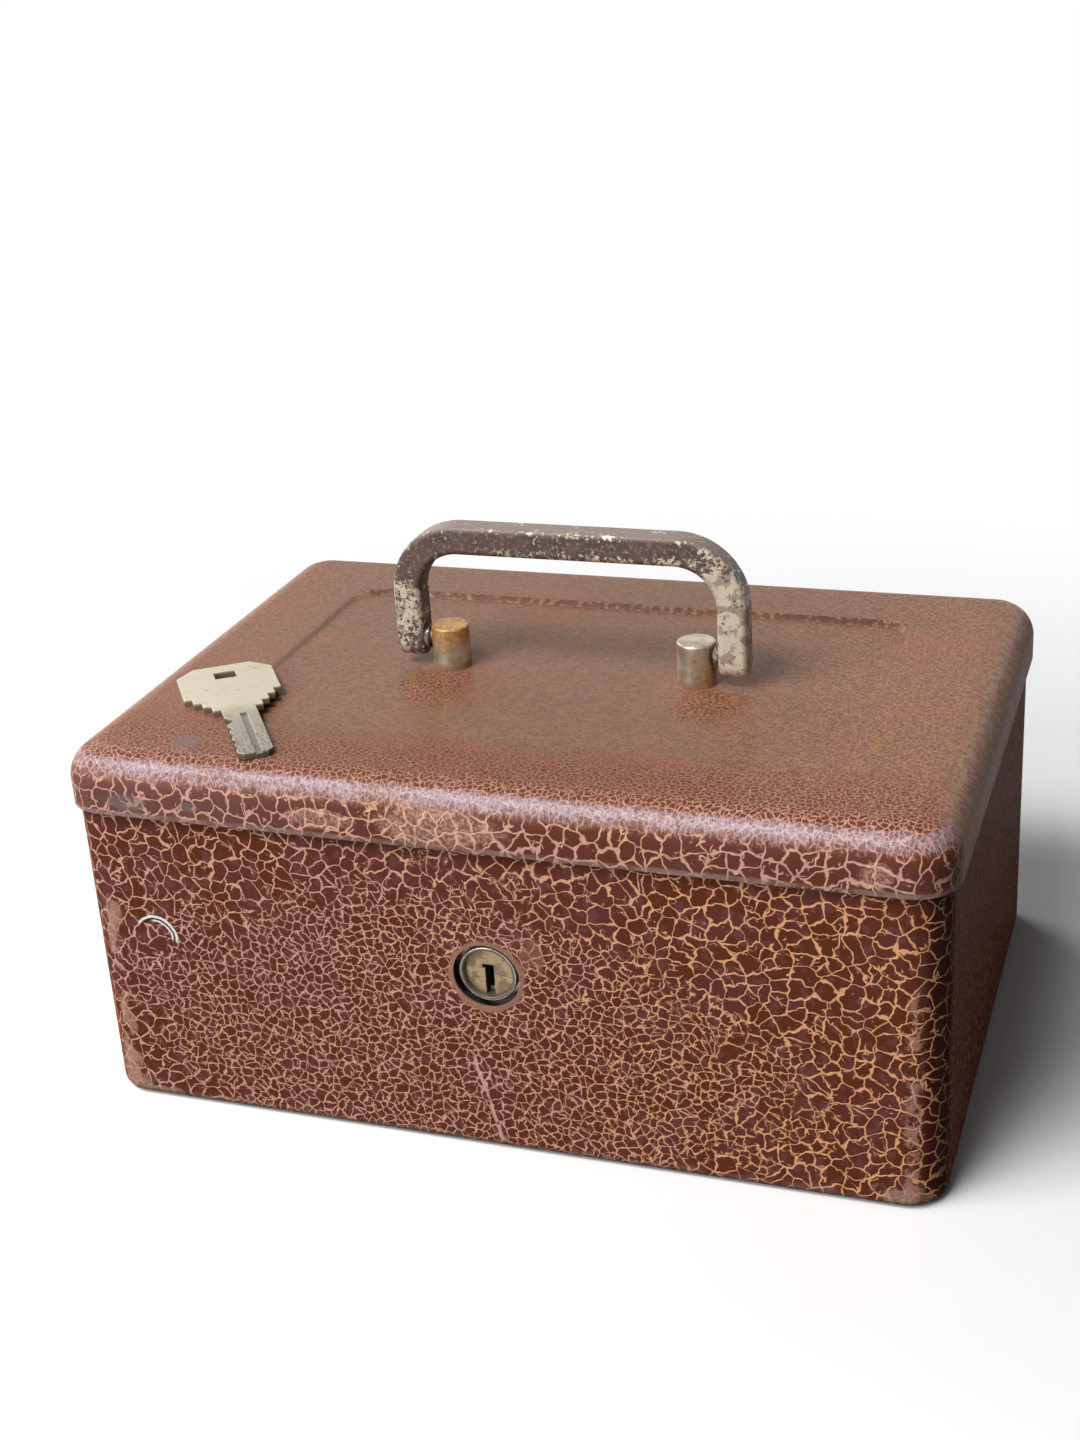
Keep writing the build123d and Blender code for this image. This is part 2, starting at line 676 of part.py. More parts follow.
# Staple: hangs from the lid in the bolt's own plane, with a notch for the bolt's nose
with BuildPart() as lid_staple:
    staple_x = (bolt_nose_tip + staple_gap, bolt_nose_tip + staple_gap + staple_width)
    notch_z = (bolt_nose_z - staple_notch_gap, bolt_top_z + staple_notch_gap)
    staple_back_y = bolt_front_y + staple_sheet
    block(*staple_x, bolt_front_y, staple_back_y, notch_z[0] - staple_hook_height, panel_under_z)
    block(
        staple_x[0],
        staple_x[0] + staple_notch_depth,
        bolt_front_y,
        staple_back_y,
        *notch_z,
        Mode.SUBTRACT,
    )
    block(*staple_x, staple_back_y, staple_back_y + staple_foot, panel_under_z - staple_sheet, panel_under_z)
save(lid_staple, "lid_staple")


def tray_slab(inset, z_from, z_to):
    """The tray's outline, with a bay for the lock, taken in by inset."""
    with BuildSketch(Plane.XY.offset(z_from)) as outline:
        half_length = tray_half_length - inset
        half_width = tray_half_width - inset
        bay_depth = tray_bay_y + inset + tray_half_width
        RectangleRounded(2 * half_length, 2 * half_width, tray_corner_radius - inset)
        with Locations((0, bay_depth / 2 - tray_half_width)):
            Rectangle(2 * (tray_bay_half_width + inset), bay_depth, mode=Mode.SUBTRACT)
    extrude(outline.sketch, amount=z_to - z_from)


# Coin tray: a drawn pan that bends round the lock
with BuildPart() as tray_room:
    tray_slab(tray_sheet, tray_floor_z + tray_sheet, tray_top_z)
    fillet(tray_room.faces().sort_by(Axis.Z)[0].edges(), tray_edge_radius - tray_sheet)

with BuildPart() as tray_pan:
    tray_slab(0, tray_floor_z, tray_top_z)
    fillet(tray_pan.faces().sort_by(Axis.Z)[0].edges(), tray_edge_radius)
    add(tray_room.part, mode=Mode.SUBTRACT)
save(tray_pan, "tray_pan")

# Dividers: sheets spot-welded between the tray's walls, shaped to its rounded bottom
with BuildPart() as front_dividers:
    for side in SIDES.values():
        bay_side_x = side * (tray_bay_half_width + tray_sheet)
        block(bay_side_x, side * tray_inside, tray_bay_y, pocket_front_y, divider_z, divider_top_z)
    add(tray_room.part, mode=Mode.INTERSECT)
save(front_dividers, "tray_front_dividers")

with BuildPart() as rear_divider:
    block(
        -tray_inside,
        tray_inside,
        rear_divider_y,
        rear_divider_y + divider_sheet,
        divider_z,
        divider_top_z,
    )
    add(tray_room.part, mode=Mode.INTERSECT)
save(rear_divider, "tray_rear_divider")

with BuildPart() as cross_dividers:
    for place in range(1, coin_pocket_count):
        divider_x = place * pocket_pitch - tray_inside - divider_sheet
        block(divider_x, divider_x + divider_sheet, pocket_front_y, rear_divider_y, divider_z, divider_top_z)
    note_divider_y = (rear_divider_y + divider_sheet, tray_half_width - tray_sheet)
    block(-divider_sheet / 2, divider_sheet / 2, *note_divider_y, divider_z, divider_top_z)
    add(tray_room.part, mode=Mode.INTERSECT)
save(cross_dividers, "tray_cross_dividers")

# Coin scoops: curved sheets that bring the coins up to the fingers
with BuildPart() as coin_scoops:
    scoop_y = (pocket_front_y + coin_side_gap, rear_divider_y - coin_side_gap)
    scoop_middle = (scoop_y[0] + scoop_y[1]) / 2
    scoop_edge_z = divider_z + coin_sag
    for place in range(coin_pocket_count):
        scoop_x = place * pocket_pitch - tray_inside + coin_side_gap
        with BuildSketch(Plane.YZ.offset(scoop_x)) as scoop_section:
            with BuildLine() as scoop_outline:
                under = ThreePointArc(
                    (scoop_y[0], scoop_edge_z),
                    (scoop_middle, divider_z),
                    (scoop_y[1], scoop_edge_z),
                )
                over = ThreePointArc(
                    (scoop_y[0], scoop_edge_z + coin_sheet),
                    (scoop_middle, divider_z + coin_sheet),
                    (scoop_y[1], scoop_edge_z + coin_sheet),
                )
                Line(under @ 0, over @ 0)
                Line(under @ 1, over @ 1)
            make_face(scoop_outline.edges())
        extrude(scoop_section.sketch, amount=pocket_width - 2 * coin_side_gap)
    add(tray_room.part, mode=Mode.INTERSECT)
save(coin_scoops, "coin_scoops")

# Lift tabs: angle tabs inside the tray's ends, to lift it by
with BuildPart() as lift_tabs:
    for side in SIDES.values():
        tab_x = side * tray_inside
        half = lift_tab_width / 2
        block(tab_x, tab_x - side * lift_tab_sheet, -half, half, tray_top_z - lift_tab_height, tray_top_z)
        block(tab_x, tab_x - side * lift_tab_reach, -half, half, tray_top_z - lift_tab_sheet, tray_top_z)
save(lift_tabs, "tray_lift_tabs")

# Key: a flat bow with stepped shoulders and a blade cut along one edge
with BuildPart() as key:
    heading = radians(key_heading)
    key_plane = Plane(
        origin=(key_inset_x - box_length / 2, key_inset_y - box_width / 2, box_height),
        x_dir=(cos(heading), sin(heading), 0),
        z_dir=(0, 0, 1),
    )
    step_width = (key_bow_half_width - key_blade_half_width) / key_step_count
    bow_side = [
        (-key_bow_top, key_bow_top_half_width),
        (key_bow_corner - key_bow_top, key_bow_half_width),
        (-key_bow_side_end, key_bow_half_width),
    ]
    for step in range(1, key_step_count + 1):
        step_side = key_bow_half_width - step * step_width
        bow_side.append((bow_side[-1][0], step_side))
        if step < key_step_count:
            bow_side.append((bow_side[-1][0] + key_step_length, step_side))
    tip = [
        (key_blade_length - key_tip_chamfer, key_blade_half_width),
        (key_blade_length, key_blade_half_width - key_tip_chamfer),
        (key_blade_length, key_tip_chamfer - key_blade_half_width),
        (key_blade_length - key_tip_chamfer, -key_blade_half_width),
    ]
    cut_edge = []
    cuts = zip(key_cut_places, key_cut_depths, key_cut_half_widths)
    for place, depth, half_width in reversed(list(cuts)):
        cut_edge.append((place + half_width, -key_blade_half_width))
        cut_edge.append((place, depth - key_blade_half_width))
        cut_edge.append((place - half_width, -key_blade_half_width))
    other_side = [(along, -across) for along, across in reversed(bow_side)]
    with BuildSketch(key_plane) as key_outline:
        with BuildLine() as key_edge:
            Polyline(*bow_side, *tip, *cut_edge, *other_side, close=True)
        make_face(key_edge.edges())
        with Locations((-key_hole_place, 0)):
            Rectangle(key_hole_length, key_hole_width, mode=Mode.SUBTRACT)
    extrude(key_outline.sketch, amount=key_sheet)
    with BuildSketch(key_plane.offset(key_sheet)) as groove:
        with Locations(((key_groove_start + key_blade_length) / 2, key_groove_offset)):
            Rectangle(key_blade_length - key_groove_start, key_groove_width)
    extrude(groove.sketch, amount=-key_groove_depth, mode=Mode.SUBTRACT)
save(key, "key")
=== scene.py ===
import logging
import math
from dataclasses import dataclass
from enum import Enum
from typing import Mapping, Sequence

import bpy
from bpy.types import Material, Node, NodeSocket, NodeTree
from mathutils import Matrix, Vector


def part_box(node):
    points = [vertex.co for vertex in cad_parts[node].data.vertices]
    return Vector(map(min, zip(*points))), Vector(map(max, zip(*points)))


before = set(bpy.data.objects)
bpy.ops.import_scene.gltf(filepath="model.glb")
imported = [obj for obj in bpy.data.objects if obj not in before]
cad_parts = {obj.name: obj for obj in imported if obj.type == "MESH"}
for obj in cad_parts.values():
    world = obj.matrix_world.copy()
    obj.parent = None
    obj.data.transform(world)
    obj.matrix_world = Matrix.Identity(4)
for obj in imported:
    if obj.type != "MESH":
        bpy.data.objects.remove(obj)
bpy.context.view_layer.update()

log = logging.getLogger("strongbox")

MM = 0.001

Colour = tuple[float, float, float, float]
Pair = tuple[float, float]
Triple = tuple[float, float, float]
Coat = tuple["Value", object]

# Sizes are in millimetres. Points, and what is added to them, are in metres.
# A pair of sizes or shares says where a mask is 0 and where it is 1.
FRONT_WALL: Pair = (-60.0, -66.0)
EDGE_LIKENESS: Pair = (0.995, 0.88)

BEVEL_SAMPLES = 6
CRACK_DEPTH = 0.09


def srgb(*steps: float) -> Colour:
    """A colour as it is seen, as linear light.

    Args:
        steps: Red, green and blue, 0 to 255.

    Returns:
        The colour's linear channels, with full alpha.
    """
    shares = [step / 255 for step in steps]
    linear = [s / 12.92 if s <= 0.04045 else ((s + 0.055) / 1.055) ** 2.4 for s in shares]
    return (*linear, 1.0)


def tone(colour: Colour, share: float) -> Colour:
    """A colour with a share of its light, no lighter than white."""
    return tuple(min(1.0, channel * share) for channel in colour[:3]) + (1.0,)


class Value:
    """One output of a node. Its operators and methods add the nodes that they need."""

    def __init__(self, graph: "Graph", socket: NodeSocket | None) -> None:
        """Keeps a node's output and the graph that it belongs to."""
        self.graph = graph
        self.socket = socket

    @property
    def is_vector(self) -> bool:
        """Whether the value has three parts."""
        return self.socket.type in ("VECTOR", "RGBA")

    def combined(self, operation: str, first: object, second: object) -> "Value":
        """Adds the node for an operation on two operands.

        Args:
            operation: The Math or Vector Math node's operation.
            first: The first operand.
            second: The second operand.

        Returns:
            The node's result.
        """
        kind, inputs = "Math", {0: first, 1: second}
        vectors = [
            isinstance(item, tuple) or getattr(item, "is_vector", False) for item in (first, second)
        ]
        if any(vectors):
            kind = "VectorMath"
            if operation == "MULTIPLY" and not all(vectors):
                operation, inputs = "SCALE", {0: first, "Scale": second}
        return self.graph.node(kind, {"operation": operation}, inputs)

    def alone(self, operation: str) -> "Value":
        """Adds the Math node for an operation on this value alone."""
        return self.graph.node("Math", {"operation": operation}, {0: self})

    def __add__(self, other: object) -> "Value":
        """Sum."""
        return self.combined("ADD", self, other)

    def __sub__(self, other: object) -> "Value":
        """Difference."""
        return self.combined("SUBTRACT", self, other)

    def __rsub__(self, other: object) -> "Value":
        """Difference from a number."""
        return self.combined("SUBTRACT", other, self)

    def __mul__(self, other: object) -> "Value":
        """Product."""
        return self.combined("MULTIPLY", self, other)

    def __abs__(self) -> "Value":
        """Size without sign."""
        return self.alone("ABSOLUTE")

    def at_least(self, other: object) -> "Value":
        """The larger of two values."""
        return self.combined("MAXIMUM", self, other)

    def at_most(self, other: object) -> "Value":
        """The smaller of two values."""
        return self.combined("MINIMUM", self, other)

    def length(self) -> "Value":
        """A vector's length."""
        return self.graph.node("VectorMath", {"operation": "LENGTH"}, {0: self}, "Value")

    def parts(self) -> tuple["Value", "Value", "Value"]:
        """A vector's three numbers."""
        split = self.graph.node("SeparateXYZ", inputs={0: self}).socket.node
        return tuple(Value(self.graph, socket) for socket in split.outputs)

    def off_axis(self, middle: Pair) -> "Value":
        """How far a point is from a line along Y at an X and Z in millimetres."""
        x, _, z = self.parts()
        return self.graph.vector(x - middle[0] * MM, 0.0, z - middle[1] * MM).length()

    def ease(self, low: float, high: float) -> "Value":
        """Rises smoothly from 0 to 1.

        Args:
            low: Where it is 0; this may be the larger of the two.
            high: Where it is 1.

        Returns:
            The share.
        """
        inputs = {0: self, 1: min(low, high), 2: max(low, high)}
        eased = self.graph.node("MapRange", {"interpolation_type": "SMOOTHSTEP"}, inputs)
        return 1 - eased if low > high else eased

    def rise(self, low: float, high: float) -> "Value":
        """Rises smoothly from 0 to 1 between two sizes."""
        return self.ease(low * MM, high * MM)

    def blend(self, below: object, above: object) -> "Value":
        """Goes from one colour to another as this value goes from 0 to 1."""
        settings = {"data_type": "RGBA", "clamp_factor": True}
        return self.graph.node("Mix", settings, {0: self, 6: below, 7: above}, 2)

    def noise(self, size: float, detail: float = 2.0, rough: float = 0.5) -> "Value":
        """Cloudy noise about 0.5 at this point, in patches of a size in millimetres."""
        inputs = {"Vector": self, "Scale": 1 / (size * MM), "Detail": detail, "Roughness": rough}
        return self.graph.node("TexNoise", inputs=inputs)

    def drift(self, size: float) -> "Value":
        """A noise vector about (0, 0, 0) at this point, for bending a pattern."""
        inputs = {"Vector": self, "Scale": 1 / (size * MM), "Detail": 1.0}
        return self.graph.node("TexNoise", inputs=inputs, output=1) - (0.5, 0.5, 0.5)

    def cell_edge(self, cell: float, uneven: float = 1.0) -> "Value":
        """How far this flat point is from the border of its irregular cell.

        Args:
            cell: The cells' size in millimetres.
            uneven: How irregular they are, 0 to 1.

        Returns:
            The distance as a share of a cell.
        """
        settings = {"feature": "DISTANCE_TO_EDGE", "voronoi_dimensions": "2D"}
        inputs = {"Vector": self, "Scale": 1 / (cell * MM), "Randomness": uneven}
        return self.graph.node("TexVoronoi", settings, inputs)


def most(masks: Sequence[Value]) -> Value:
    """The largest of several masks.

    Args:
        masks: The masks.

    Returns:
        The largest at each point.
    """
    found = masks[0]
    for mask in masks[1:]:
        found = found.at_least(mask)
    return found


def layered(paint: object, *coats: Coat) -> Value:
    """Lays colours over one another, each where its mask is.

    Args:
        paint: The lowest colour.
        coats: A mask and a colour each, from the lowest up.

    Returns:
        The colour that shows.
    """
    for mask, colour in coats:
        paint = mask.blend(paint, colour)
    return paint


class Graph:
    """A node tree that expressions and a few plain calls fill in."""

    def __init__(self, tree: NodeTree) -> None:
        """Takes over a node tree and empties it."""
        self.tree = tree
        tree.nodes.clear()

    def node(
        self,
        kind: str,
        settings: Mapping[str, object] | None = None,
        inputs: Mapping[int | str, object] | None = None,
        output: int | str = 0,
    ) -> Value:
        """Adds any node.

        Args:
            kind: The node's type, without ShaderNode in front.
            settings: Its settings, set first.
            inputs: Numbers, tuples or values for its sockets, by index or name.
            output: The output that is wanted, by index or name.

        Returns:
            That output as a value.
        """
        made = self.tree.nodes.new("ShaderNode" + kind)
        for name, setting in (settings or {}).items():
            setattr(made, name, setting)
        self.feed(made, inputs or {})
        return Value(self, made.outputs[output] if made.outputs else None)

    def feed(self, made: Node, inputs: Mapping[int | str, object]) -> None:
        """Fills a node's sockets: a value is linked, and anything else is set.

        Args:
            made: The node.
            inputs: What its sockets get, by index or name.
        """
        for key, item in inputs.items():
            if isinstance(item, Value):
                self.tree.links.new(item.socket, made.inputs[key])
            else:
                made.inputs[key].default_value = item

    def place(self) -> Value:
        """The point on the piece, in metres, fixed to the piece as it moves."""
        return self.node("TexCoord", output="Object")

    def vector(self, x: object, y: object, z: object) -> Value:
        """A vector from three numbers."""
        return self.node("CombineXYZ", inputs={0: x, 1: y, 2: z})


class Surface(Graph):
    """A material made of one principled shader."""

    def __init__(
        self, name: str, coat: float = 0.0, coat_roughness: float = 0.15, specular: float = 0.4
    ) -> None:
        """Starts a material.

        Args:
            name: The material's name.
            coat: How much clear coat it has.
            coat_roughness: How rough the coat is.
            specular: How much it mirrors under the coat.
        """
        self.material = bpy.data.materials.new(name)
        self.material.use_nodes = True
        super().__init__(self.material.node_tree)
        constants = {"Coat Weight": coat, "Coat Roughness": coat_roughness}
        constants["Specular IOR Level"] = specular
        self.shader = self.node("BsdfPrincipled", inputs=constants)
        self.node("OutputMaterial", inputs={"Surface": self.shader})
        self.point = self.place()
        self.soft: Value | None = None

    def facing(self) -> tuple[Value, Value, Value]:
        """Which way the surface faces, by the piece's own axes."""
        return self.node("TexCoord", output="Normal").parts()

    def softened(self, radius: float) -> Value:
        """Softens sharp edges.

        Args:
            radius: The edges' radius in millimetres.

        Returns:
            How much a point lies on an edge, 0 to 1.
        """
        self.soft = self.node("Bevel", {"samples": BEVEL_SAMPLES}, {"Radius": radius * MM})
        normals = {0: self.soft, 1: self.node("NewGeometry", output="Normal")}
        alike = self.node("VectorMath", {"operation": "DOT_PRODUCT"}, normals, "Value")
        return alike.ease(*EDGE_LIKENESS)

    def finish(self, height: Value, depth: float = 0.05, **sockets: Value) -> Material:
        """Feeds the shader.

        Args:
            height: The surface's relief, 0 to 1.
            depth: How deep the relief is, in millimetres.
            sockets: What feeds the shader, by socket name with underscores for spaces.

        Returns:
            The finished material.
        """
        relief = {"Height": height, "Strength": 1.0, "Distance": depth * MM}
        if self.soft:
            relief["Normal"] = self.soft
        sockets["Normal"] = self.node("Bump", inputs=relief)
        named = {name.replace("_", " "): item for name, item in sockets.items()}
        self.feed(self.shader.socket.node, named)
        return self.material


@dataclass(frozen=True)
class Net:
    """The net of cracks in a lacquer: its cells' size, and a crack's width as a share of it."""

    cell: float
    crack: float = 0.15
    stubs: float = 0.5
    uneven: float = 1.0

    def draw(self, along: Value, up: Value, point: Value) -> Value:
        """Draws the net, with short cracks that end inside the cells.

        Args:
            along: The place along the flattened sheet.
            up: The place across it.
            point: The point, for what bends the net.

        Returns:
            How much a point lies in a crack, 0 to 1.
        """
        cell, half = self.cell, self.crack / 2
        flat = along.graph.vector(along, up, 0.0)
        flat = flat + point.drift(2.8 * cell) * (1.5 * cell * MM)
        flat = flat + point.drift(0.6 * cell) * (0.62 * cell * MM)
        apart = flat.cell_edge(cell, self.uneven)
        main = (apart - point.noise(0.9 * cell, 1) * (2 * half)).ease(0.8 * half, -0.6 * half)
        side = (flat + (0.013, 0.007, 0.0)).cell_edge(0.82 * cell).ease(1.5 * half, 0.5 * half)
        least = 0.62 - 0.24 * self.stubs
        here = (point + (0.02, 0.05, 0.01)).noise(0.8 * cell).ease(least, least + 0.08)
        return main.at_least(side * apart.ease(0.38, 0.2) * here)


@dataclass(frozen=True)
class Spot:
    """A patch: its middle, its reach along each axis, and where its border is."""

    middle: Triple
    reach: Triple
    border: Pair = (1.15, 0.8)

    def mask(self, point: Value, ragged: Value) -> Value:
        """1 inside the patch, 0 outside.

        Args:
            point: The point.
            ragged: A number about 0, for an uneven border.

        Returns:
            The mask.
        """
        offset = point - tuple(part * MM for part in self.middle)
        scaled = offset * tuple(1 / (part * MM) for part in self.reach)
        return (scaled.length() + ragged).ease(*self.border)


def in_any(spots: Sequence[Spot], point: Value, ragged: Value) -> Value:
    """1 inside any of several patches, 0 outside."""
    return most([spot.mask(point, ragged) for spot in spots])


@dataclass(frozen=True)
class Outline:
    """A rounded rectangle about the middle: half its sides, and its corner radius."""

    half_x: float
    half_y: float
    corner: float

    def past(self, point: Value) -> tuple[Value, Value]:
        """How far a point is past the straight sides' ends, along X and along Y, in metres."""
        x, y, _ = point.parts()
        return abs(x) - (self.half_x - self.corner) * MM, abs(y) - (self.half_y - self.corner) * MM

    def off(self, point: Value) -> Value:
        """How far a point is outside the outline, negative inside.

        Args:
            point: The point.

        Returns:
            The distance in metres.
        """
        over_x, over_y = self.past(point)
        corner = point.graph.vector(over_x.at_least(0.0), over_y.at_least(0.0), 0.0).length()
        return corner + over_x.at_least(over_y).at_most(0.0) - self.corner * MM

    def along(self, point: Value) -> Value:
        """How far along the walls a point is, from the middle of the front or the back.

        Args:
            point: The point.

        Returns:
            The distance along front, corner and side as one flat sheet, in metres.
        """
        x = point.parts()[0]
        over_x, over_y = self.past(point)
        over_x = over_x.at_least(0.0)
        turn = over_x.combined("ARCTAN2", over_x, over_y.at_least(0.0))
        straight = abs(x).at_most((self.half_x - self.corner) * MM)
        side = (over_y * -1.0).at_least(0.0) * over_x.rise(0, 1)
        return (straight + turn * (self.corner * MM) + side) * x.alone("SIGN")


def dress(names: Sequence[str], material: Material) -> None:
    """Gives CAD nodes a material.

    Args:
        names: The nodes.
        material: Their finish.
    """
    for name in names:
        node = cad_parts[name]
        if not node.material_slots:
            raise ValueError(f"{name} has no material slot")
        for slot in node.material_slots:
            slot.material = material
        log.info("%s wears %s", name, material.name)


@dataclass(frozen=True)
class CrackleColours:
    """The crackle lacquer's colours."""

    island: Colour = srgb(90, 44, 28)
    island_rosy: Colour = srgb(92, 48, 42)
    island_mauve: Colour = srgb(106, 70, 70)
    island_corner_shade: Colour = srgb(58, 16, 12)
    crack: Colour = srgb(204, 154, 128)
    crack_orange: Colour = srgb(216, 158, 116)
    crack_rosy: Colour = srgb(198, 150, 134)
    smooth: Colour = srgb(142, 104, 88)
    worn: Colour = srgb(172, 128, 110)
    worn_grey: Colour = srgb(148, 124, 108)
    rust: Colour = srgb(176, 92, 52)
    dust: Colour = srgb(132, 100, 78)
    dust_warm: Colour = srgb(142, 98, 74)
    dust_red: Colour = srgb(142, 90, 66)
    edge_dust_and_slope_light: Colour = srgb(182, 148, 126)
    skirt_film: Colour = srgb(128, 98, 96)
    rubbed: Colour = srgb(186, 142, 126)
    rubbed_crack: Colour = srgb(214, 172, 152)
    dark_speckle_and_reflection: Colour = srgb(84, 44, 34)
    stain: Colour = srgb(116, 104, 98)
    slope: Colour = srgb(84, 52, 40)
    bloom_and_highlight: Colour = srgb(196, 182, 196)
    rim_wear_and_highlight: Colour = srgb(138, 112, 104)
    post_ring: Colour = srgb(176, 104, 80)
    inside: Colour = srgb(74, 54, 44)
    chipped: Colour = srgb(222, 218, 218)
    scratched: Colour = srgb(206, 168, 156)
    shade: Colour = srgb(28, 18, 14)

    def enamel(self, cloud: Value) -> Value:
        """The plain enamel inside, a little uneven."""
        return cloud.blend(self.inside, tone(self.inside, 0.8))

    def islands(self, cloud: Value) -> Value:
        """The lacquer between the cracks."""
        return cloud.ease(0.42, 0.62).blend(self.island, self.island_rosy)

    def cracks(self, wide: Value) -> Value:
        """The undercoat that the cracks show."""
        return wide.ease(0.44, 0.6).blend(self.crack, self.crack_rosy)


@dataclass
class Body:
    """The drawn body: its lacquer outside and its enamel inside."""

    outline: Outline = Outline(100, 69, 9)
    fine: Net = Net(2.2, 0.115)
    coarse: Net = Net(3.6, 0.092, stubs=0.3)
    fine_area: Spot = Spot((-12, 0, 27), (74, math.inf, 37), border=(1.06, 0.98))
    orange_side: Pair = (-30.0, 90.0)
    lock_middle: Pair = (0.0, 45.0)
    lock_hole: float = 7.75
    chip_middle: Pair = (-81.3, 44.7)
    chip_radius: float = 5.2
    chip_arcs: Sequence[Triple] = ((0.0, 0.42, 0.22), (0.62, 0.34, 0.2), (1.05, 0.3, 0.16))
    scratch_top: Pair = (-4.4, 24.0)
    scratch_bottom: Pair = (1.5, 0.5)
    smooth_patch: Spot = Spot((10.4, -69, 51), (3.2, 6, 4.2))
    worn: Sequence[Spot] = (
        Spot((-93.6, -69, 7), (2.8, 8, 8)),
        Spot((-88, -69, 0.6), (9, 8, 3.2)),
        Spot((-92.4, -69, 49), (2.2, 8, 4.2)),
        Spot((-91.6, -69, 19), (1.4, 8, 3)),
        Spot((91.4, -69, 2.6), (5.2, 8, 3.4)),
        Spot((92, 69, 5), (4, 8, 6)),
        Spot((-93, 69, 3), (6, 8, 4)),
    )
    colours: CrackleColours = CrackleColours()

    def build(self) -> None:
        """Dresses the body."""
        dress(["body_shell"], self.lacquer())

    def lacquer(self) -> Material:
        """Crackle lacquer outside with its wear, plain enamel inside.

        Returns:
            The material.
        """
        surface = Surface("body_crackle", coat_roughness=0.25, specular=0.006)
        colours, point = self.colours, surface.point
        x, _, z = point.parts()
        walls = self.outline.along(point)
        small = self.fine_area.mask(point, (point.noise(9) - 0.5) * 1.2)
        crack = self.coarse.draw(walls, z, point) * (1 - small)
        crack = crack + self.fine.draw(walls, z, point) * small
        ragged = point.noise(2.4, 3) - 0.5
        cloud = point.noise(11)
        tint = point.noise(30, 1)

        corner_x, corner_y = self.outline.past(point)
        # Painted shade: the islands darken where the corners turn onto the sides.
        turning = corner_x.rise(3.5, 6) * corner_y.rise(0, 3)
        mauve = (point + (0.03, 0.01, 0.02)).noise(2.4).ease(0.54, 0.64)
        island = layered(
            colours.islands(cloud),
            (mauve * 0.5, colours.island_mauve),
            (turning * 0.8, colours.island_corner_shade),
        )
        to_right = (x + (tint - 0.5) * 0.12).rise(*self.orange_side)
        line = to_right.blend(colours.cracks(tint), colours.crack_orange)

        broken = point.noise(6, 6, 0.72)
        corner_wear = (abs(corner_x - 2.4 * MM) + (broken - 0.5) * 0.012).rise(2.4, 1.4)
        corner_wear = corner_wear * corner_y.rise(5, 7.5) * broken.ease(0.47, 0.53)
        corner_wear = corner_wear * (z + ragged * 0.02).rise(58, 46)
        # Painted light with rust: an orange rim on the left corners, which face the lamps.
        rust = (corner_x + ragged * 0.006).rise(4.2, 7.2) * x.rise(0, -1)
        rust = rust * (corner_y + ragged * 0.006).rise(0, 5)
        rust = rust * (broken + ragged * 0.4).ease(0.36, 0.58)
        low = (z + ragged * 0.006).rise(3.2, 1.2)
        worn = in_any(self.worn, point, ragged * 2.4).at_least(low * 0.5)
        mottled = point.noise(1.2, 5, 0.68).ease(0.4, 0.58)
        marks, smooth, bare = self.marks(point, ragged)
        paint = layered(
            crack.blend(island, line),
            (corner_wear * 0.8, crack.blend(colours.worn, colours.crack_rosy)),
            (rust * 0.55, colours.rust),
            (worn * (mottled * 0.5 + 0.4), cloud.blend(colours.worn_grey, colours.worn)),
            *marks,
        )
        outside = self.outline.off(point).rise(-0.5, -0.4).at_least(z.rise(0.5, 0.4))
        crack = crack * (1 - worn.at_least(smooth).at_least(bare)) * outside
        return surface.finish(
            height=(1 - crack) + point.noise(0.9) * 0.25,
            depth=CRACK_DEPTH,
            Base_Color=outside.blend(colours.enamel(cloud), paint),
            Roughness=crack * 0.2 + 0.48 - bare * 0.25,
            Coat_Weight=(1 - crack) * outside * x.rise(99.6, 98) * 0.06,
            Metallic=bare * 0.6,
        )

    def marks(self, point: Value, ragged: Value) -> tuple[list[Coat], Value, Value]:
        """The smooth ring and patch by the lock, the crescent chip and the long scratch.

        Args:
            point: The point.
            ragged: A number about 0, for uneven borders.

        Returns:
            The coats to lay, where the lacquer is smooth, and where the metal is bare.
        """
        x, y, z = point.parts()
        colours, smooth = self.colours, self.colours.smooth
        front = y.rise(*FRONT_WALL)
        off = point.off_axis(self.lock_middle) + ragged * 0.0016
        ring = off.rise(self.lock_hole + 1.5, self.lock_hole + 0.8) * front
        patch = self.smooth_patch.mask(point, ragged * 2) * 0.55

        over_x, over_z = x - self.chip_middle[0] * MM, z - self.chip_middle[1] * MM
        upper = (over_z + over_x * 0.42).rise(0.6, 1.8) * front
        off = point.off_axis(self.chip_middle) + ragged * 0.0005
        outer, gap, inner = (
            abs(off - (self.chip_radius - inward) * MM).rise(none, whole) * upper
            for inward, none, whole in self.chip_arcs
        )
        bare = outer.at_least(inner * over_x.rise(-1.5, 0.5))

        (top_x, top_z), (end_x, end_z) = self.scratch_top, self.scratch_bottom
        run = math.hypot(end_x - top_x, end_z - top_z)
        share_x, share_z = (end_x - top_x) / run, (end_z - top_z) / run
        from_x, from_z = x - top_x * MM, z - top_z * MM
        along = from_x * share_x + from_z * share_z
        across = abs(from_x * -share_z + from_z * share_x + ragged * 0.001)
        within = along.rise(-0.5, 1) * along.rise(run, run - 2) * front
        scratch = across.rise(0.56, 0.22) * within * ragged.ease(-0.2, -0.06)
        coats = [
            (ring * 0.92, x.rise(-6, 8).blend(tone(smooth, 1.12), smooth)),
            (patch * 0.85, smooth),
            (gap * 0.8, colours.shade),
            (bare * 0.92, colours.chipped),
            (scratch * 0.8, colours.scratched),
        ]
        return coats, ring.at_least(patch), bare


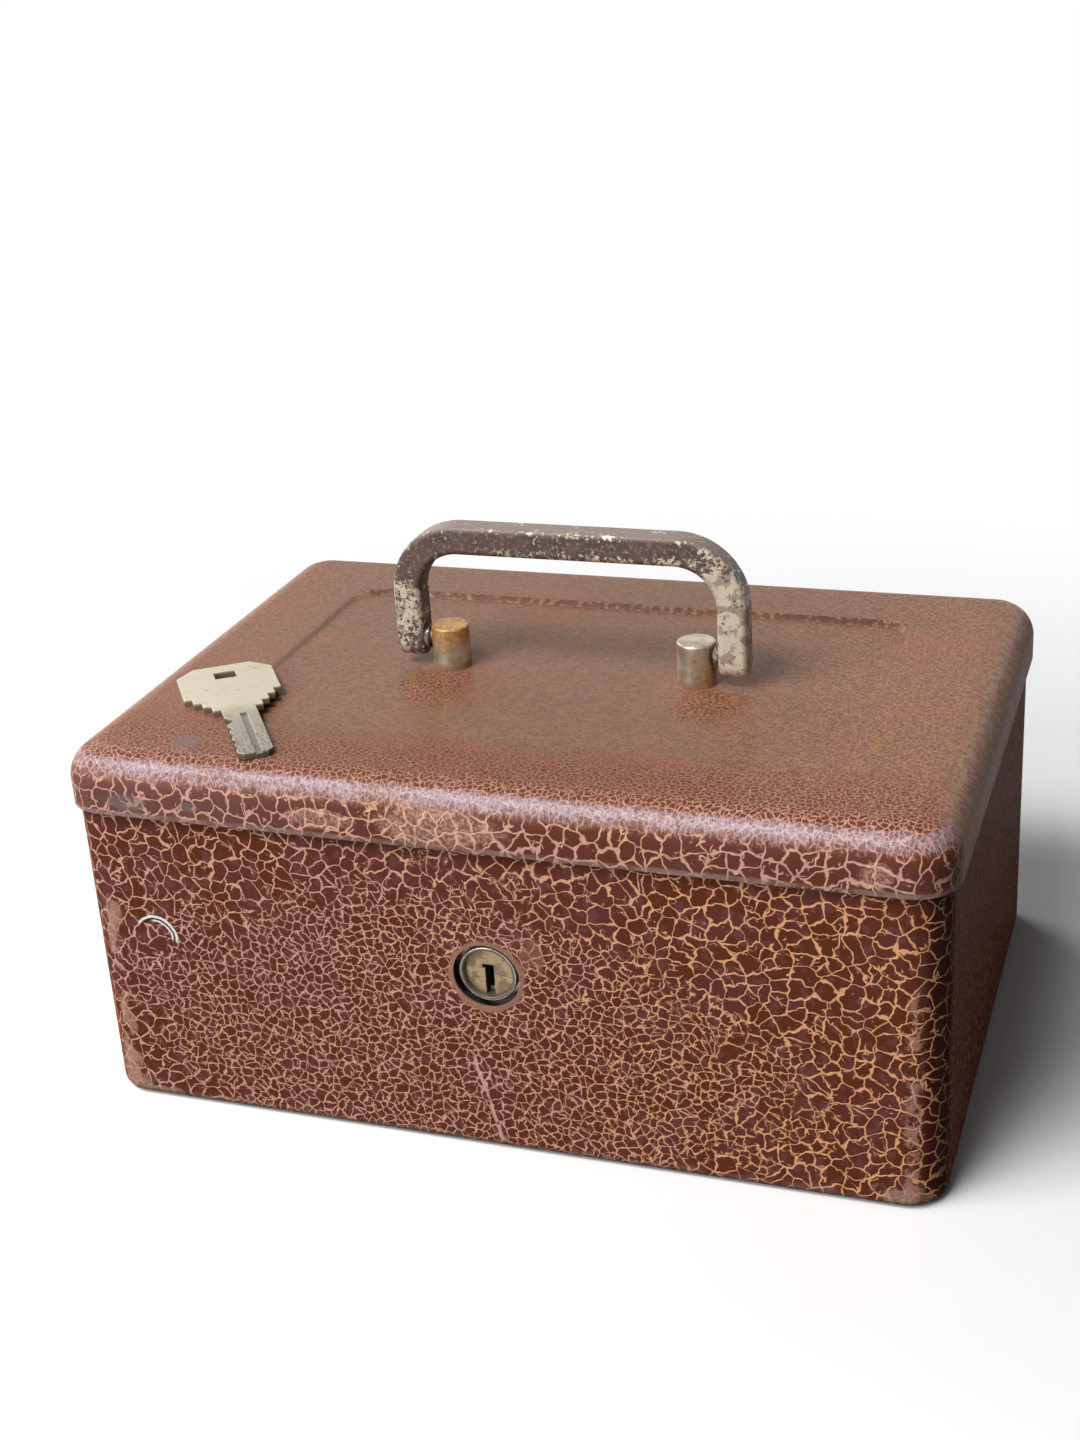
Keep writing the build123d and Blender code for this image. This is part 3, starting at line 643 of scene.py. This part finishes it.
@dataclass
class Lid:
    """The lid: its crackled skirt, its dusty top and the pale edge between them, worn and with a
    painted highlight.
    """

    outline: Outline = Outline(101.4, 70.4, 10.4)
    panel: Outline = Outline(74, 44.4, 8)
    panel_slope: float = 1.2
    top: float = 90.0
    skirt: float = 76.0
    skirt_top: Pair = (86.5, 84.0)
    band_bottom: Pair = (84.9, 87.0)
    band_top: Pair = (89.1, 88.3)
    post_x: float = 30.7
    post_radius: float = 4.6
    large: Net = Net(3.9, 0.11, stubs=0.4, uneven=0.8)
    fine: Net = Net(1.3)
    post_reflections: Sequence[Spot] = (
        Spot((-30.5, -14.5, 89), (8, 10, 9)),
        Spot((36, -13, 89), (7.5, 8.5, 9)),
    )
    worn: Sequence[Spot] = (
        Spot((-8, -70.4, 81), (15, 6, 4.2)),
        Spot((-36, -70.4, 80.5), (8, 6, 2.4)),
        Spot((85.5, -70.4, 80.6), (3.4, 6, 3)),
        Spot((-99.5, -64, 79), (2.4, 5, 4)),
        Spot((-40, 70.4, 80), (12, 6, 3)),
        Spot((98, 64, 84), (3, 5, 4)),
    )
    stains: Sequence[Spot] = (
        Spot((-73.2, -58, 90), (3.6, 3.4, 3)),
        Spot((-67.2, -70.4, 79.9), (2, 3, 1.2)),
        Spot((-83, -70.4, 79.6), (5, 3, 2)),
    )
    colours: CrackleColours = CrackleColours()

    def build(self) -> None:
        """Dresses the lid."""
        dress(["lid_shell"], self.lacquer())

    def lacquer(self) -> Material:
        """Crackle lacquer, dusty on top with a painted reflection of the posts, pale on the rounded
        edge with wear and a painted highlight, and enamel inside.

        Returns:
            The material.
        """
        surface = Surface("lid_crackle", coat_roughness=0.2, specular=0.04)
        colours, point = self.colours, surface.point
        x, y, z = point.parts()
        ragged = point.noise(2.2, 3) - 0.5
        cloud = point.noise(13)
        wide = point.noise(42, 1.5)
        on_skirt = (z + ragged * 0.003).rise(*self.skirt_top)
        on_top = 1 - on_skirt
        fine = self.fine.draw(x, y, point)
        crack = self.large.draw(self.outline.along(point), z, point) * on_skirt + fine * on_top
        # Painted reflection: the posts mirrored in the top, darker and redder in front of them,
        # with the coat taken off there.
        rubbed = in_any(self.post_reflections, point, (point.noise(1.4, 5, 0.68) - 0.5) * 2.2)
        slope = self.on_slope(point)

        to_left = (x + (cloud - 0.5) * 0.05).rise(-20, -75)
        film = on_skirt * (to_left * 0.24 + 0.08)
        paint = crack.blend(colours.islands(cloud), colours.cracks(wide))
        paint = (film * (1 - crack)).blend(paint, colours.skirt_film)
        paint = self.dust(point, paint, on_top, cloud, wide, fine, rubbed)
        paint = (slope * on_top * 0.85).blend(paint, colours.slope)
        paint, dull = self.edges(point, paint, ragged, cloud)
        speckled = point.noise(0.8, 4, 0.65).ease(0.42, 0.6)
        worn = in_any(self.worn, point, ragged * 0.9) * (speckled * 0.6 + 0.2)
        below = surface.facing()[2].ease(-0.2, -0.5) * z.rise(76.5, 77)
        within = self.outline.off(point).rise(-0.6, -0.75)
        hidden = (within * z.rise(self.top - 8.4, self.top - 8.8)).at_least(below)
        paint = layered(
            paint,
            (worn, crack.blend(colours.rubbed, colours.rubbed_crack)),
            (in_any(self.stains, point, ragged * 0.8) * 0.55, colours.stain),
            (hidden, colours.enamel(cloud)),
        )

        flat_top = z.rise(self.top - 2.4, self.top - 1.6)
        dulled = (y.rise(-39, -45) * flat_top * 0.6).at_least(rubbed * 0.85)
        gloss = on_top * (1 - slope * 0.7) * (1 - hidden) * (1 - dulled)
        gloss = gloss * flat_top.at_least(y.rise(-60, -63)) * 0.19
        streaks = (point * (0.3, 1.0, 1.0)).noise(1.1)
        return surface.finish(
            height=(1 - crack * (1 - dull)) * (on_skirt * 0.65 + 0.35) + streaks * 0.2,
            depth=CRACK_DEPTH,
            Base_Color=paint,
            Roughness=0.5 - on_top * 0.06 + crack * 0.1,
            Coat_Weight=gloss + on_skirt * 0.04,
        )

    def on_slope(self, point: Value) -> Value:
        """Where the slope round the recessed panel is painted darker: most at the back.

        Args:
            point: The point.

        Returns:
            The mask.
        """
        x, y, _ = point.parts()
        back = y.rise(40, 44)
        left = x.rise(-68, -73) * y.rise(-10, 44)
        ragged = point.graph.vector(x, y, 0.0).noise(1.6, 4)
        line = (self.from_slope(point) + (ragged - 0.5) * 0.004).rise(0.9, 0.2)
        return line * (back * 0.9 + left * 0.16 + 0.03).at_most(1.0)

    def from_slope(self, point: Value) -> Value:
        """How far a point is from the middle of the slope round the panel, in metres."""
        return abs(self.panel.off(point) + 0.5 * self.panel_slope * MM)

    def dust(
        self, point: Value, paint: Value, on_top: Value, cloud: Value, wide: Value,
        crack: Value, rubbed: Value,
    ) -> Value:
        """Lays the tan film over the top, thinner towards the front edge; paints the posts'
        reflection in front of them, painted light on the panel's left slope and painted shade on
        its right slope.

        Args:
            point: The point.
            paint: The colour so far.
            on_top: 1 above the skirt.
            cloud: Noise in patches of a centimetre.
            wide: Noise in patches of several centimetres.
            crack: The top's fine net.
            rubbed: 1 where the posts' painted reflection lies, in front of them.

        Returns:
            The new colour.
        """
        x, y, z = point.parts()
        colours = self.colours
        away = (y + (cloud - 0.5) * 0.01).rise(-59, -40)
        redder = (abs(x + 12 * MM) + (wide - 0.5) * 0.06).rise(36, 90)
        grain = (point * (0.6, 1.0, 1.0)).noise(1.1, 5, 0.7)
        share = away * 0.24 + 0.68 - y.rise(*FRONT_WALL) * 0.25 - redder * 0.1
        share = (share + (grain - 0.5) * 0.9).at_most(0.97) * on_top
        speckle = point.noise(0.75, 3, 0.6).ease(0.5, 0.6)
        reddish = (wide + (grain - 0.5) * 0.4).ease(0.5, 0.66)
        beside_key = (x + (wide - 0.5) * 0.05).rise(-66, -86) * y.rise(10, -25)
        film = redder.blend(colours.dust, colours.dust_warm)
        film = layered(
            grain.ease(0.4, 0.6).blend(tone(colours.dust, 0.66), film),
            (reddish * 0.4, colours.dust_red),
            ((1 - away) * 0.85, tone(colours.dust_red, 0.68)),
            (beside_key * 0.6, tone(colours.dust_red, 0.8)),
            (speckle * (0.95 - away * 0.75), colours.dark_speckle_and_reflection),
        )
        to_right = (x + (cloud - 0.5) * 0.05).rise(20, 70) * grain.ease(0.4, 0.6)
        beside = self.outline.off(point).rise(-8, -3) * z.rise(83.5, 86)
        beside = beside * y.rise(-64, -58)
        patchy = point.noise(1.6, 5, 0.68).ease(0.46, 0.56)
        dusty = (patchy * 0.8).blend(colours.edge_dust_and_slope_light, colours.dust_red)
        sloping = self.from_slope(point).rise(0.9, 0.5)
        return layered(
            paint,
            (share, film),
            (crack * to_right * on_top * 0.25, colours.crack_orange),
            # Painted reflection of the posts: dark speckled film and orange cracks in front of
            # them.
            (rubbed * (speckle * 0.3 + 0.45), colours.dark_speckle_and_reflection),
            (rubbed * crack * 0.35, colours.crack_orange),
            (beside * (grain * 0.6 + 0.35), dusty),
            # Painted light on the panel's left slope, which faces away from the lamps; painted
            # shade on its right slope, which faces them.
            (sloping * x.rise(-69, -73) * 0.6, colours.edge_dust_and_slope_light),
            (sloping * x.rise(69, 73) * 0.35, colours.slope),
        )

    def edges(
        self, point: Value, paint: Value, ragged: Value, cloud: Value
    ) -> tuple[Value, Value]:
        """Lays the pale band on the rounded edge, wear with a painted highlight strongest at the
        front, the skirt's pale lower edge, wear with a painted highlight, and the rings round the
        posts.

        Args:
            point: The point.
            paint: The colour so far.
            ragged: A number about 0, for uneven borders.
            cloud: Noise in patches of a centimetre.

        Returns:
            The new colour, and where the cracks have no depth.
        """
        x, y, z = point.parts()
        height = z + ragged * 0.0016
        # Painted highlight: the lamp above mirrored in the rounded edge, strongest along the front,
        # mixed with worn pale specks.
        band = height.rise(*self.band_bottom) * height.rise(*self.band_top)
        band = band * self.outline.off(point).rise(-9, -7.6)
        broken = (cloud + ragged * 1.2).ease(0.3, 0.5)
        specks = point.noise(0.9, 5, 0.68).ease(0.38, 0.5)
        strength = (y.rise(-55, -64) * 0.38 + 0.03) * (broken * 0.45 + 0.55)
        strength = strength * (specks * 0.85 + 0.15)
        # Painted highlight with wear: the pale line along the skirt's rolled lower edge.
        lower = height.rise(self.skirt + 1.5, self.skirt + 0.9)
        lower = lower * ((cloud + ragged).ease(0.3, 0.6) * 0.5 + 0.25)
        paint = layered(
            paint, (band * strength, self.colours.bloom_and_highlight), (lower, self.colours.rim_wear_and_highlight)
        )
        for side in (-1, 1):
            off = point.graph.vector(x - side * self.post_x * MM, y, 0.0).length()
            near = (self.post_radius + 1.2, self.post_radius + 0.6)
            ring = (off + ragged * 0.0006).rise(*near)
            paint = (ring * (0.15 + 0.12 * side)).blend(paint, self.colours.post_ring)
        return paint, lower.at_least(band * 0.5)


@dataclass(frozen=True)
class Metal:
    """A bare or plated metal, with its dull film, its rust and its worn edges."""

    clean: Colour
    dull: Colour
    metallic: float = 0.8
    roughness: float = 0.36
    dulled: float = 0.5
    rusted: float = 0.0
    grain: float = 1.1
    edge_radius: float = 0.25
    rust: Colour = srgb(126, 72, 42)

    def material(self, name: str) -> Material:
        """Makes the metal's material.

        Args:
            name: The material's name.

        Returns:
            The material.
        """
        surface = Surface(name)
        point = surface.point
        edge = surface.softened(self.edge_radius)
        grain = point.noise(self.grain, 4)
        uneven = point.noise(4.5 * self.grain) + (grain - 0.5) * 0.5
        film = uneven.ease(0.7 - 0.4 * self.dulled, 0.86 - 0.4 * self.dulled) * (1 - edge * 0.7)
        pitted = point.noise(2.3 * self.grain, 5, 0.6)
        pitted = pitted.ease(0.74 - 0.3 * self.rusted, 0.8 - 0.3 * self.rusted)
        paint = layered(
            self.clean,
            (film, self.dull),
            (edge * 0.5, tone(self.clean, 1.15)),
            (pitted, self.rust),
        )
        return surface.finish(
            height=grain * 0.5 + pitted * 0.5,
            Base_Color=paint,
            Roughness=film * 0.16 + pitted * 0.3 + grain * 0.1 + (self.roughness - 0.05),
            Metallic=(1 - pitted) * self.metallic,
        )


@dataclass(frozen=True)
class Enamel:
    """A plain stoved enamel, rubbed through along its edges."""

    colour: Colour
    bare: Colour = srgb(150, 144, 136)
    roughness: float = 0.42
    coat: float = 0.25
    rubbed: float = 0.6
    peel: float = 0.9
    edge_radius: float = 0.35

    def material(self, name: str) -> Material:
        """Makes the enamel's material.

        Args:
            name: The material's name.

        Returns:
            The material.
        """
        surface = Surface(name, coat=self.coat, coat_roughness=0.25, specular=0.3)
        point = surface.point
        edge = surface.softened(self.edge_radius)
        cloud = point.noise(16, 3)
        fine = point.noise(0.7, 4, 0.6)
        worn = (0.62 - 0.2 * self.rubbed, 0.7 - 0.2 * self.rubbed)
        bare = edge * (cloud + (fine - 0.5) * 0.9).ease(*worn)
        scuff = (point * (1.0, 0.16, 1.0)).noise(0.8, 3, 0.6)
        scuff = (scuff + (cloud - 0.5) * 0.5).ease(0.6, 0.74)
        paint = layered(
            tone(self.colour, 0.8),
            (cloud.ease(0.36, 0.64), tone(self.colour, 1.15)),
            (scuff * 0.4, tone(self.colour, 1.9)),
            (bare, self.bare),
        )
        return surface.finish(
            height=point.noise(self.peel, 1) * 0.8 + fine * 0.2,
            Base_Color=paint,
            Roughness=scuff * 0.18 + fine * 0.1 + (self.roughness - 0.05),
            Metallic=bare * 0.7,
        )


class Finish(Enum):
    """The metals and enamels of the plain small parts."""

    ZINC = Metal(
        srgb(150, 148, 140), srgb(138, 135, 126), 0.55, roughness=0.42, rusted=0.15, grain=1.4
    )
    STEEL = Metal(srgb(142, 134, 124), srgb(84, 72, 62), roughness=0.42, dulled=0.7, rusted=0.5)
    BRASS = Metal(srgb(186, 152, 92), srgb(120, 92, 56), roughness=0.34, dulled=0.6)
    SPRING = Metal(srgb(150, 148, 144), srgb(92, 88, 84), roughness=0.28)
    HINGE = Enamel(srgb(62, 34, 26), roughness=0.4, rubbed=0.8)
    TRAY = Enamel(srgb(66, 46, 38), roughness=0.36, coat=0.35, rubbed=0.9)
    LEDGE = Enamel(srgb(74, 54, 44), roughness=0.48, coat=0.1, rubbed=0.5)

    def on(self, *names: str) -> None:
        """Gives nodes this finish."""
        dress(names, self.value.material(self.name.lower() + "_finish"))


@dataclass
class Handle:
    """The bail in chipped paint, on its two nickelled posts."""

    bar_top: float = 125.1
    bar_under: float = 118.1
    post_x: float = 30.7
    post_foot: float = 88.8
    post_top: float = 99.4
    paint: Colour = srgb(84, 66, 62)
    paint_top_highlight: Colour = srgb(124, 108, 100)
    undercoat: Colour = srgb(196, 184, 164)
    undercoat_grey: Colour = srgb(150, 136, 122)
    rust: Colour = srgb(120, 70, 44)
    nickel: Colour = srgb(198, 186, 164)
    nickel_dull: Colour = srgb(162, 148, 128)
    pitted: Colour = srgb(112, 84, 64)
    foot_grime: Colour = srgb(136, 92, 72)
    brass: Colour = srgb(186, 138, 76)
    brass_dark: Colour = srgb(158, 108, 58)

    def build(self) -> None:
        """Dresses the handle, its posts and pins, and the zinc-plated parts."""
        dress(["handle_bail"], self.chipped_paint())
        for side in ("left", "right"):
            dress([f"{side}_handle_post"], self.post_nickel(side))
        Finish.STEEL.on("left_pivot_pin", "right_pivot_pin")
        Finish.ZINC.on(
            "handle_stiffener", "lid_staple", "lock_case", "bolt_guide_pillars", "lock_bolt"
        )

    def chipped_paint(self) -> Material:
        """Dark paint that has chipped to its pale undercoat, most on the right leg, with a painted
        highlight on the faces that look up.

        Returns:
            The material.
        """
        surface = Surface("handle_paint", coat_roughness=0.3, specular=0.25)
        point = surface.point
        x, _, z = point.parts()
        edge = surface.softened(0.4)
        to_side, to_back, to_top = surface.facing()
        front, above = to_back.ease(-0.2, -0.7), to_top.ease(0.3, 0.8)
        fine = point.noise(1.15, 5, 0.7)
        cloud = point.noise(5)
        right_leg = x.rise(30, 37) * z.rise(121, 113)
        left_leg = x.rise(-35, -38) * z.rise(116, 107)
        bend = x.rise(27, 32) * z.rise(112, 118)
        under = z.rise(self.bar_under + 3.2, self.bar_under + 1.2)
        under = under * abs(x - 8 * MM).rise(34, 18)
        rim = z.rise(self.bar_top - 1.9, self.bar_top - 0.8)
        worn = right_leg * 0.27 + left_leg * 0.17 + bend * 0.09 + under * 0.13 + rim * 0.08
        worn = worn * (front * 0.8 + abs(to_side).ease(0.4, 0.8) * 0.5 + 0.1)
        worn = worn + above * 0.015 + edge * 0.06
        chips = (fine + (cloud - 0.5) * 0.45 + worn).ease(0.6, 0.68)
        spots = (point + (0.01, 0.02, 0.03)).noise(1.3, 5).ease(0.62, 0.7)
        pale = point.noise(2.6, 3).ease(0.46, 0.6).blend(self.undercoat, self.undercoat_grey)
        paint = layered(
            cloud.ease(0.4, 0.62).blend(self.paint, tone(self.paint, 0.78)),
            # Painted highlight: faces that look up are lighter.
            (above, self.paint_top_highlight),
            (fine.ease(0.48, 0.62) * 0.35, self.undercoat_grey),
            (chips, pale),
            (spots * 0.55, self.rust),
        )
        return surface.finish(
            height=(1 - chips) * 0.7 + fine * 0.3,
            depth=0.12,
            Base_Color=paint,
            Roughness=chips * -0.06 + fine * 0.2 + 0.38,
            Metallic=chips * 0.3,
            Coat_Weight=(1 - chips) * 0.12,
        )

    def post_nickel(self, side: str) -> Material:
        """Satin nickel with rings of turning, and a stain.

        Args:
            side: Which post, left or right.

        Returns:
            The material.
        """
        surface = Surface(f"{side}_post_nickel")
        point = surface.point
        z = point.parts()[2]
        surface.softened(0.35)
        cloud = point.noise(4, 3)
        turned = (point * (0.3, 0.3, 1.6)).noise(0.5, 3)
        fine = point.noise(1, 5, 0.6)
        stained = self.stain(side, point, (cloud - 0.5) * 1.6 + (fine - 0.5) * 0.6)
        pits = (fine + (cloud - 0.5) * 0.4).ease(0.62, 0.68)
        low = z + (cloud - 0.5) * 0.002
        foot = low.rise(self.post_foot + 2.2, self.post_foot + 0.8)
        foot = foot * z.rise(self.post_foot - 0.7, self.post_foot - 0.2)
        paint = layered(
            cloud.ease(0.36, 0.62).blend(self.nickel, self.nickel_dull),
            (pits * 0.6, self.pitted),
            (foot * 0.7, self.foot_grime),
            (stained, fine.ease(0.42, 0.6).blend(self.brass, self.brass_dark)),
        )
        return surface.finish(
            height=turned * 0.5 + pits * -0.3 + fine * 0.3,
            Base_Color=paint,
            Roughness=stained * 0.12 + turned * 0.14 + pits * 0.1 + 0.26,
            Metallic=0.78 - stained * 0.3 - foot * 0.3,
        )

    def stain(self, side: str, point: Value, uneven: Value) -> Value:
        """Orange over the left post's upper part, or rust on the right post's lower right.

        Args:
            side: Which post, left or right.
            point: The point.
            uneven: A number about 0, for uneven borders.

        Returns:
            The stain's share.
        """
        x, _, z = point.parts()
        if side == "left":
            height = z + uneven * 0.0015
            return height.rise(self.post_top - 8, self.post_top - 1.2) * 0.9
        right = (x + uneven * 0.002).rise(self.post_x + 0.8, self.post_x + 3.2)
        return right * (z + uneven * 0.003).rise(self.post_top - 3, self.post_top - 7) * 0.7


@dataclass
class Lock:
    """The cylinder lock: its ring and plug in the front, its works behind."""

    middle: Pair = (0.0, 45.0)
    seat_radius: float = 6.2
    nickel: Colour = srgb(202, 194, 182)
    nickel_dirty: Colour = srgb(140, 116, 96)
    nickel_edge: Colour = srgb(226, 220, 210)
    seat_dark: Colour = srgb(70, 54, 44)
    brass: Colour = srgb(164, 142, 112)
    brass_dark: Colour = srgb(112, 92, 70)
    brass_edge: Colour = srgb(214, 190, 150)
    keyway_shade: Colour = srgb(14, 11, 9)

    def build(self) -> None:
        """Dresses the lock."""
        dress(["lock_barrel"], self.ring_nickel())
        dress(["lock_plug"], self.plug_brass())
        Finish.BRASS.on("tumbler_wafers", "barrel_nut")
        Finish.SPRING.on("wafer_spring", "cam_clip", "cam_pin", "lock_cam")

    def ring_nickel(self) -> Material:
        """Worn nickel, bright on the rim and darker in the seat.

        Returns:
            The material.
        """
        surface = Surface("lock_ring_nickel")
        point = surface.point
        edge = surface.softened(0.25)
        fine = point.noise(0.8, 4, 0.6)
        off = point.off_axis(self.middle) + (fine - 0.5) * 0.0006
        seat = off.rise(self.seat_radius + 0.35, self.seat_radius)
        dirty = (point.noise(2.5, 3) + (fine - 0.5) * 0.6).ease(0.46, 0.66)
        paint = layered(
            self.nickel,
            (dirty * 0.7, self.nickel_dirty),
            (edge * 0.6, self.nickel_edge),
            (seat * (1 - edge) * 0.9, self.seat_dark),
        )
        return surface.finish(
            height=fine,
            Base_Color=paint,
            Roughness=dirty * 0.2 + seat * 0.1 + 0.24,
            Metallic=0.8 - seat * 0.5 - dirty * 0.2,
        )

    def plug_brass(self) -> Material:
        """Brass that fingers have dulled, with painted shade down the key slot.

        Returns:
            The material.
        """
        surface = Surface("lock_plug_brass")
        point = surface.point
        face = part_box("lock_plug")[0][1]
        edge = surface.softened(0.2)
        fine = (point * (0.4, 1.0, 1.0)).noise(0.6, 4, 0.6)
        dull = (point.noise(2.2, 3) + (fine - 0.5) * 0.7).ease(0.42, 0.62)
        # Painted shade: near black behind the plug's face, down the key slot.
        deep = point.parts()[1].ease(face + 0.25 * MM, face + 0.7 * MM)
        paint = layered(
            self.brass,
            (dull * 0.8, self.brass_dark),
            (edge * 0.4, self.brass_edge),
            (deep * 0.96, self.keyway_shade),
        )
        return surface.finish(
            height=fine,
            depth=0.06,
            Base_Color=paint,
            Roughness=dull * 0.16 + fine * 0.1 + deep * 0.3 + 0.28,
            Metallic=(1 - deep) * 0.62,
        )


@dataclass
class Key:
    """The loose key on the lid, with its shoulder's place and its heading in radians."""

    shoulder: Pair = (-68.0, -41.3)
    heading: float = math.radians(-55)
    bow: Colour = srgb(188, 178, 154)
    blade: Colour = srgb(144, 135, 118)
    tarnish: Colour = srgb(150, 138, 114)
    mottle: Colour = srgb(84, 72, 60)
    bright: Colour = srgb(208, 200, 182)
    sunk: Colour = srgb(44, 36, 28)
    spotted: Colour = srgb(96, 78, 56)
    groove: Colour = srgb(58, 48, 40)

    def build(self) -> None:
        """Dresses the key."""
        dress(["key"], self.nickel())

    def nickel(self) -> Material:
        """Creamy nickel, greyer and more worn on the blade.

        Returns:
            The material.
        """
        surface = Surface("key_nickel")
        point = surface.point
        x, y, z = point.parts()
        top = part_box("key")[1][2]
        edge = surface.softened(0.3)
        from_x, from_y = x - self.shoulder[0] * MM, y - self.shoulder[1] * MM
        cosine, sine = math.cos(self.heading), math.sin(self.heading)
        along = from_x * cosine + from_y * sine
        across = from_x * -sine + from_y * cosine
        cloud = point.noise(5, 3)
        fine = surface.vector(along * 0.35, across, z).noise(0.7, 4, 0.6)
        on_blade = (along + (cloud - 0.5) * 0.01).rise(-4, 6)
        dull = (cloud + (fine - 0.5) * 0.6).ease(0.48, 0.7)
        spots = point.noise(1.4, 4).ease(0.66, 0.72)
        groove = z.ease(top - 0.1 * MM, top - 0.3 * MM) * along.rise(0, 2)
        mottled = (along + (fine - 0.5) * 0.03).rise(9, 24) * fine.ease(0.42, 0.6)
        paint = layered(
            self.bow,
            (on_blade, self.blade),
            (dull * 0.35, self.tarnish),
            (mottled * 0.7, self.mottle),
            (edge * 0.4, self.bright),
            (z.ease(top - 0.3 * MM, top - 0.7 * MM) * 0.6, self.sunk),
            (spots * 0.5, self.spotted),
            (groove * 0.25, self.groove),
        )
        return surface.finish(
            height=fine * 0.7 + cloud * 0.3,
            Base_Color=paint,
            Roughness=dull * 0.14 + fine * 0.12 + spots * 0.2 + 0.26,
            Metallic=0.45 - groove * 0.2,
        )


class Inside:
    """What shows with the lid open, and the hinges behind."""

    def build(self) -> None:
        """Dresses the tray, its ledges and the hinges."""
        Finish.TRAY.on(
            "tray_pan", "tray_front_dividers", "tray_rear_divider", "tray_cross_dividers",
            "coin_scoops", "tray_lift_tabs"
        )
        Finish.LEDGE.on("left_tray_ledge", "right_tray_ledge")
        Finish.HINGE.on(
            "left_hinge_body_leaf", "right_hinge_body_leaf",
            "left_hinge_lid_leaf", "right_hinge_lid_leaf"
        )
        Finish.STEEL.on(
            "left_hinge_pin", "right_hinge_pin", "hinge_body_rivets", "hinge_lid_rivets"
        )


@dataclass(frozen=True)
class Lamp:
    """A soft rectangular lamp that faces the box, in metres and watts."""

    name: str
    place: Triple
    size: Pair
    power: float
    aim: Triple = (0.0, 0.0, 0.06)

    def build(self) -> None:
        """Hangs the lamp."""
        data = bpy.data.lights.new(self.name, "AREA")
        data.shape = "RECTANGLE"
        data.size, data.size_y = self.size
        data.energy = self.power
        lamp = bpy.data.objects.new(self.name, data)
        lamp.location = self.place
        towards = Vector(self.aim) - Vector(self.place)
        lamp.rotation_euler = towards.to_track_quat("-Z", "Y").to_euler()
        bpy.context.scene.collection.objects.link(lamp)


@dataclass
class Studio:
    """The floor, the lights and the camera, in metres."""

    camera: Sequence[Sequence[float]] = (
        (0.94511, -0.07856, 0.31718, 0.14850),
        (0.32157, 0.39593, -0.86013, -0.42739),
        (-0.05801, 0.91492, 0.39946, 0.27422),
        (0.0, 0.0, 0.0, 1.0),
    )
    lens: float = 51.09
    sensor: float = 36.0
    nearest: float = 0.01
    floor_half: float = 8.0
    floor_z: float = -0.0002
    floor_fade: Pair = (0.13, 0.42)
    floor_seen: Colour = srgb(240, 240, 240)
    floor_bounce: Colour = (0.03, 0.03, 0.03, 1.0)
    white: Colour = (1.0, 1.0, 1.0, 1.0)
    ambient: float = 0.08
    lamps: Sequence[Lamp] = (
        Lamp("front_top_light", (-0.4, -0.62, 1.15), (0.95, 0.42), 18.5),
        Lamp("front_left_light", (-1.0, -1.7, 0.8), (1.2, 1.0), 30.0),
        Lamp("back_left_light", (-1.5, 1.1, 1.2), (1.0, 1.0), 14.0),
    )

    def build(self) -> None:
        """Makes all that isn't the object."""
        bpy.context.scene.view_settings.view_transform = "Standard"
        self.add_camera()
        self.add_world()
        self.add_floor()
        for lamp in self.lamps:
            lamp.build()

    def add_camera(self) -> None:
        """Sets the camera as in the photograph."""
        data = bpy.data.cameras.new("camera")
        data.lens = self.lens
        data.sensor_width = self.sensor
        data.clip_start = self.nearest
        camera = bpy.data.objects.new("camera", data)
        bpy.context.scene.collection.objects.link(camera)
        camera.matrix_world = Matrix(self.camera)
        bpy.context.scene.camera = camera

    def add_world(self) -> None:
        """Makes a white background, with a dim even light behind it."""
        world = bpy.data.worlds.new("studio")
        bpy.context.scene.world = world
        world.use_nodes = True
        graph = Graph(world.node_tree)
        strength = self.seen(graph) * (1 - self.ambient) + self.ambient
        background = graph.node("Background", inputs={"Color": self.white, "Strength": strength})
        graph.node("OutputWorld", inputs={"Surface": background})

    @staticmethod
    def seen(graph: Graph) -> Value:
        """1 where the camera looks, straight or in a reflection."""
        rays = ("Is Camera Ray", "Is Glossy Ray", "Is Transmission Ray")
        return most([graph.node("LightPath", output=ray) for ray in rays])

    def add_floor(self) -> None:
        """Lays a pale floor that takes the shadow, turns white far away and lights little."""
        half = self.floor_half
        corners = [(-half, -half, 0), (half, -half, 0), (half, half, 0), (-half, half, 0)]
        mesh = bpy.data.meshes.new("floor")
        mesh.from_pydata(corners, [], [(0, 1, 2, 3)])
        floor = bpy.data.objects.new("floor", mesh)
        floor.location.z = self.floor_z
        bpy.context.scene.collection.objects.link(floor)
        material = bpy.data.materials.new("pale_floor")
        material.use_nodes = True
        graph = Graph(material.node_tree)
        far = graph.place().length().ease(*self.floor_fade)
        pale = graph.node("BsdfDiffuse", inputs={"Color": self.floor_seen})
        glow = graph.node("Emission", inputs={"Color": self.white, "Strength": 1.0})
        shown = graph.node("MixShader", inputs={0: far, 1: pale, 2: glow})
        plain = graph.node("BsdfDiffuse", inputs={"Color": self.floor_bounce})
        mixed = graph.node("MixShader", inputs={0: self.seen(graph), 1: plain, 2: shown})
        graph.node("OutputMaterial", inputs={"Surface": mixed})
        floor.data.materials.append(material)


def main() -> None:
    """Builds the scene in order."""
    logging.basicConfig(level=logging.INFO, format="%(name)s: %(message)s")
    for assembly in (Studio(), Body(), Lid(), Handle(), Lock(), Key(), Inside()):
        assembly.build()
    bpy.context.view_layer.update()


if __name__ == "__main__":
    main()
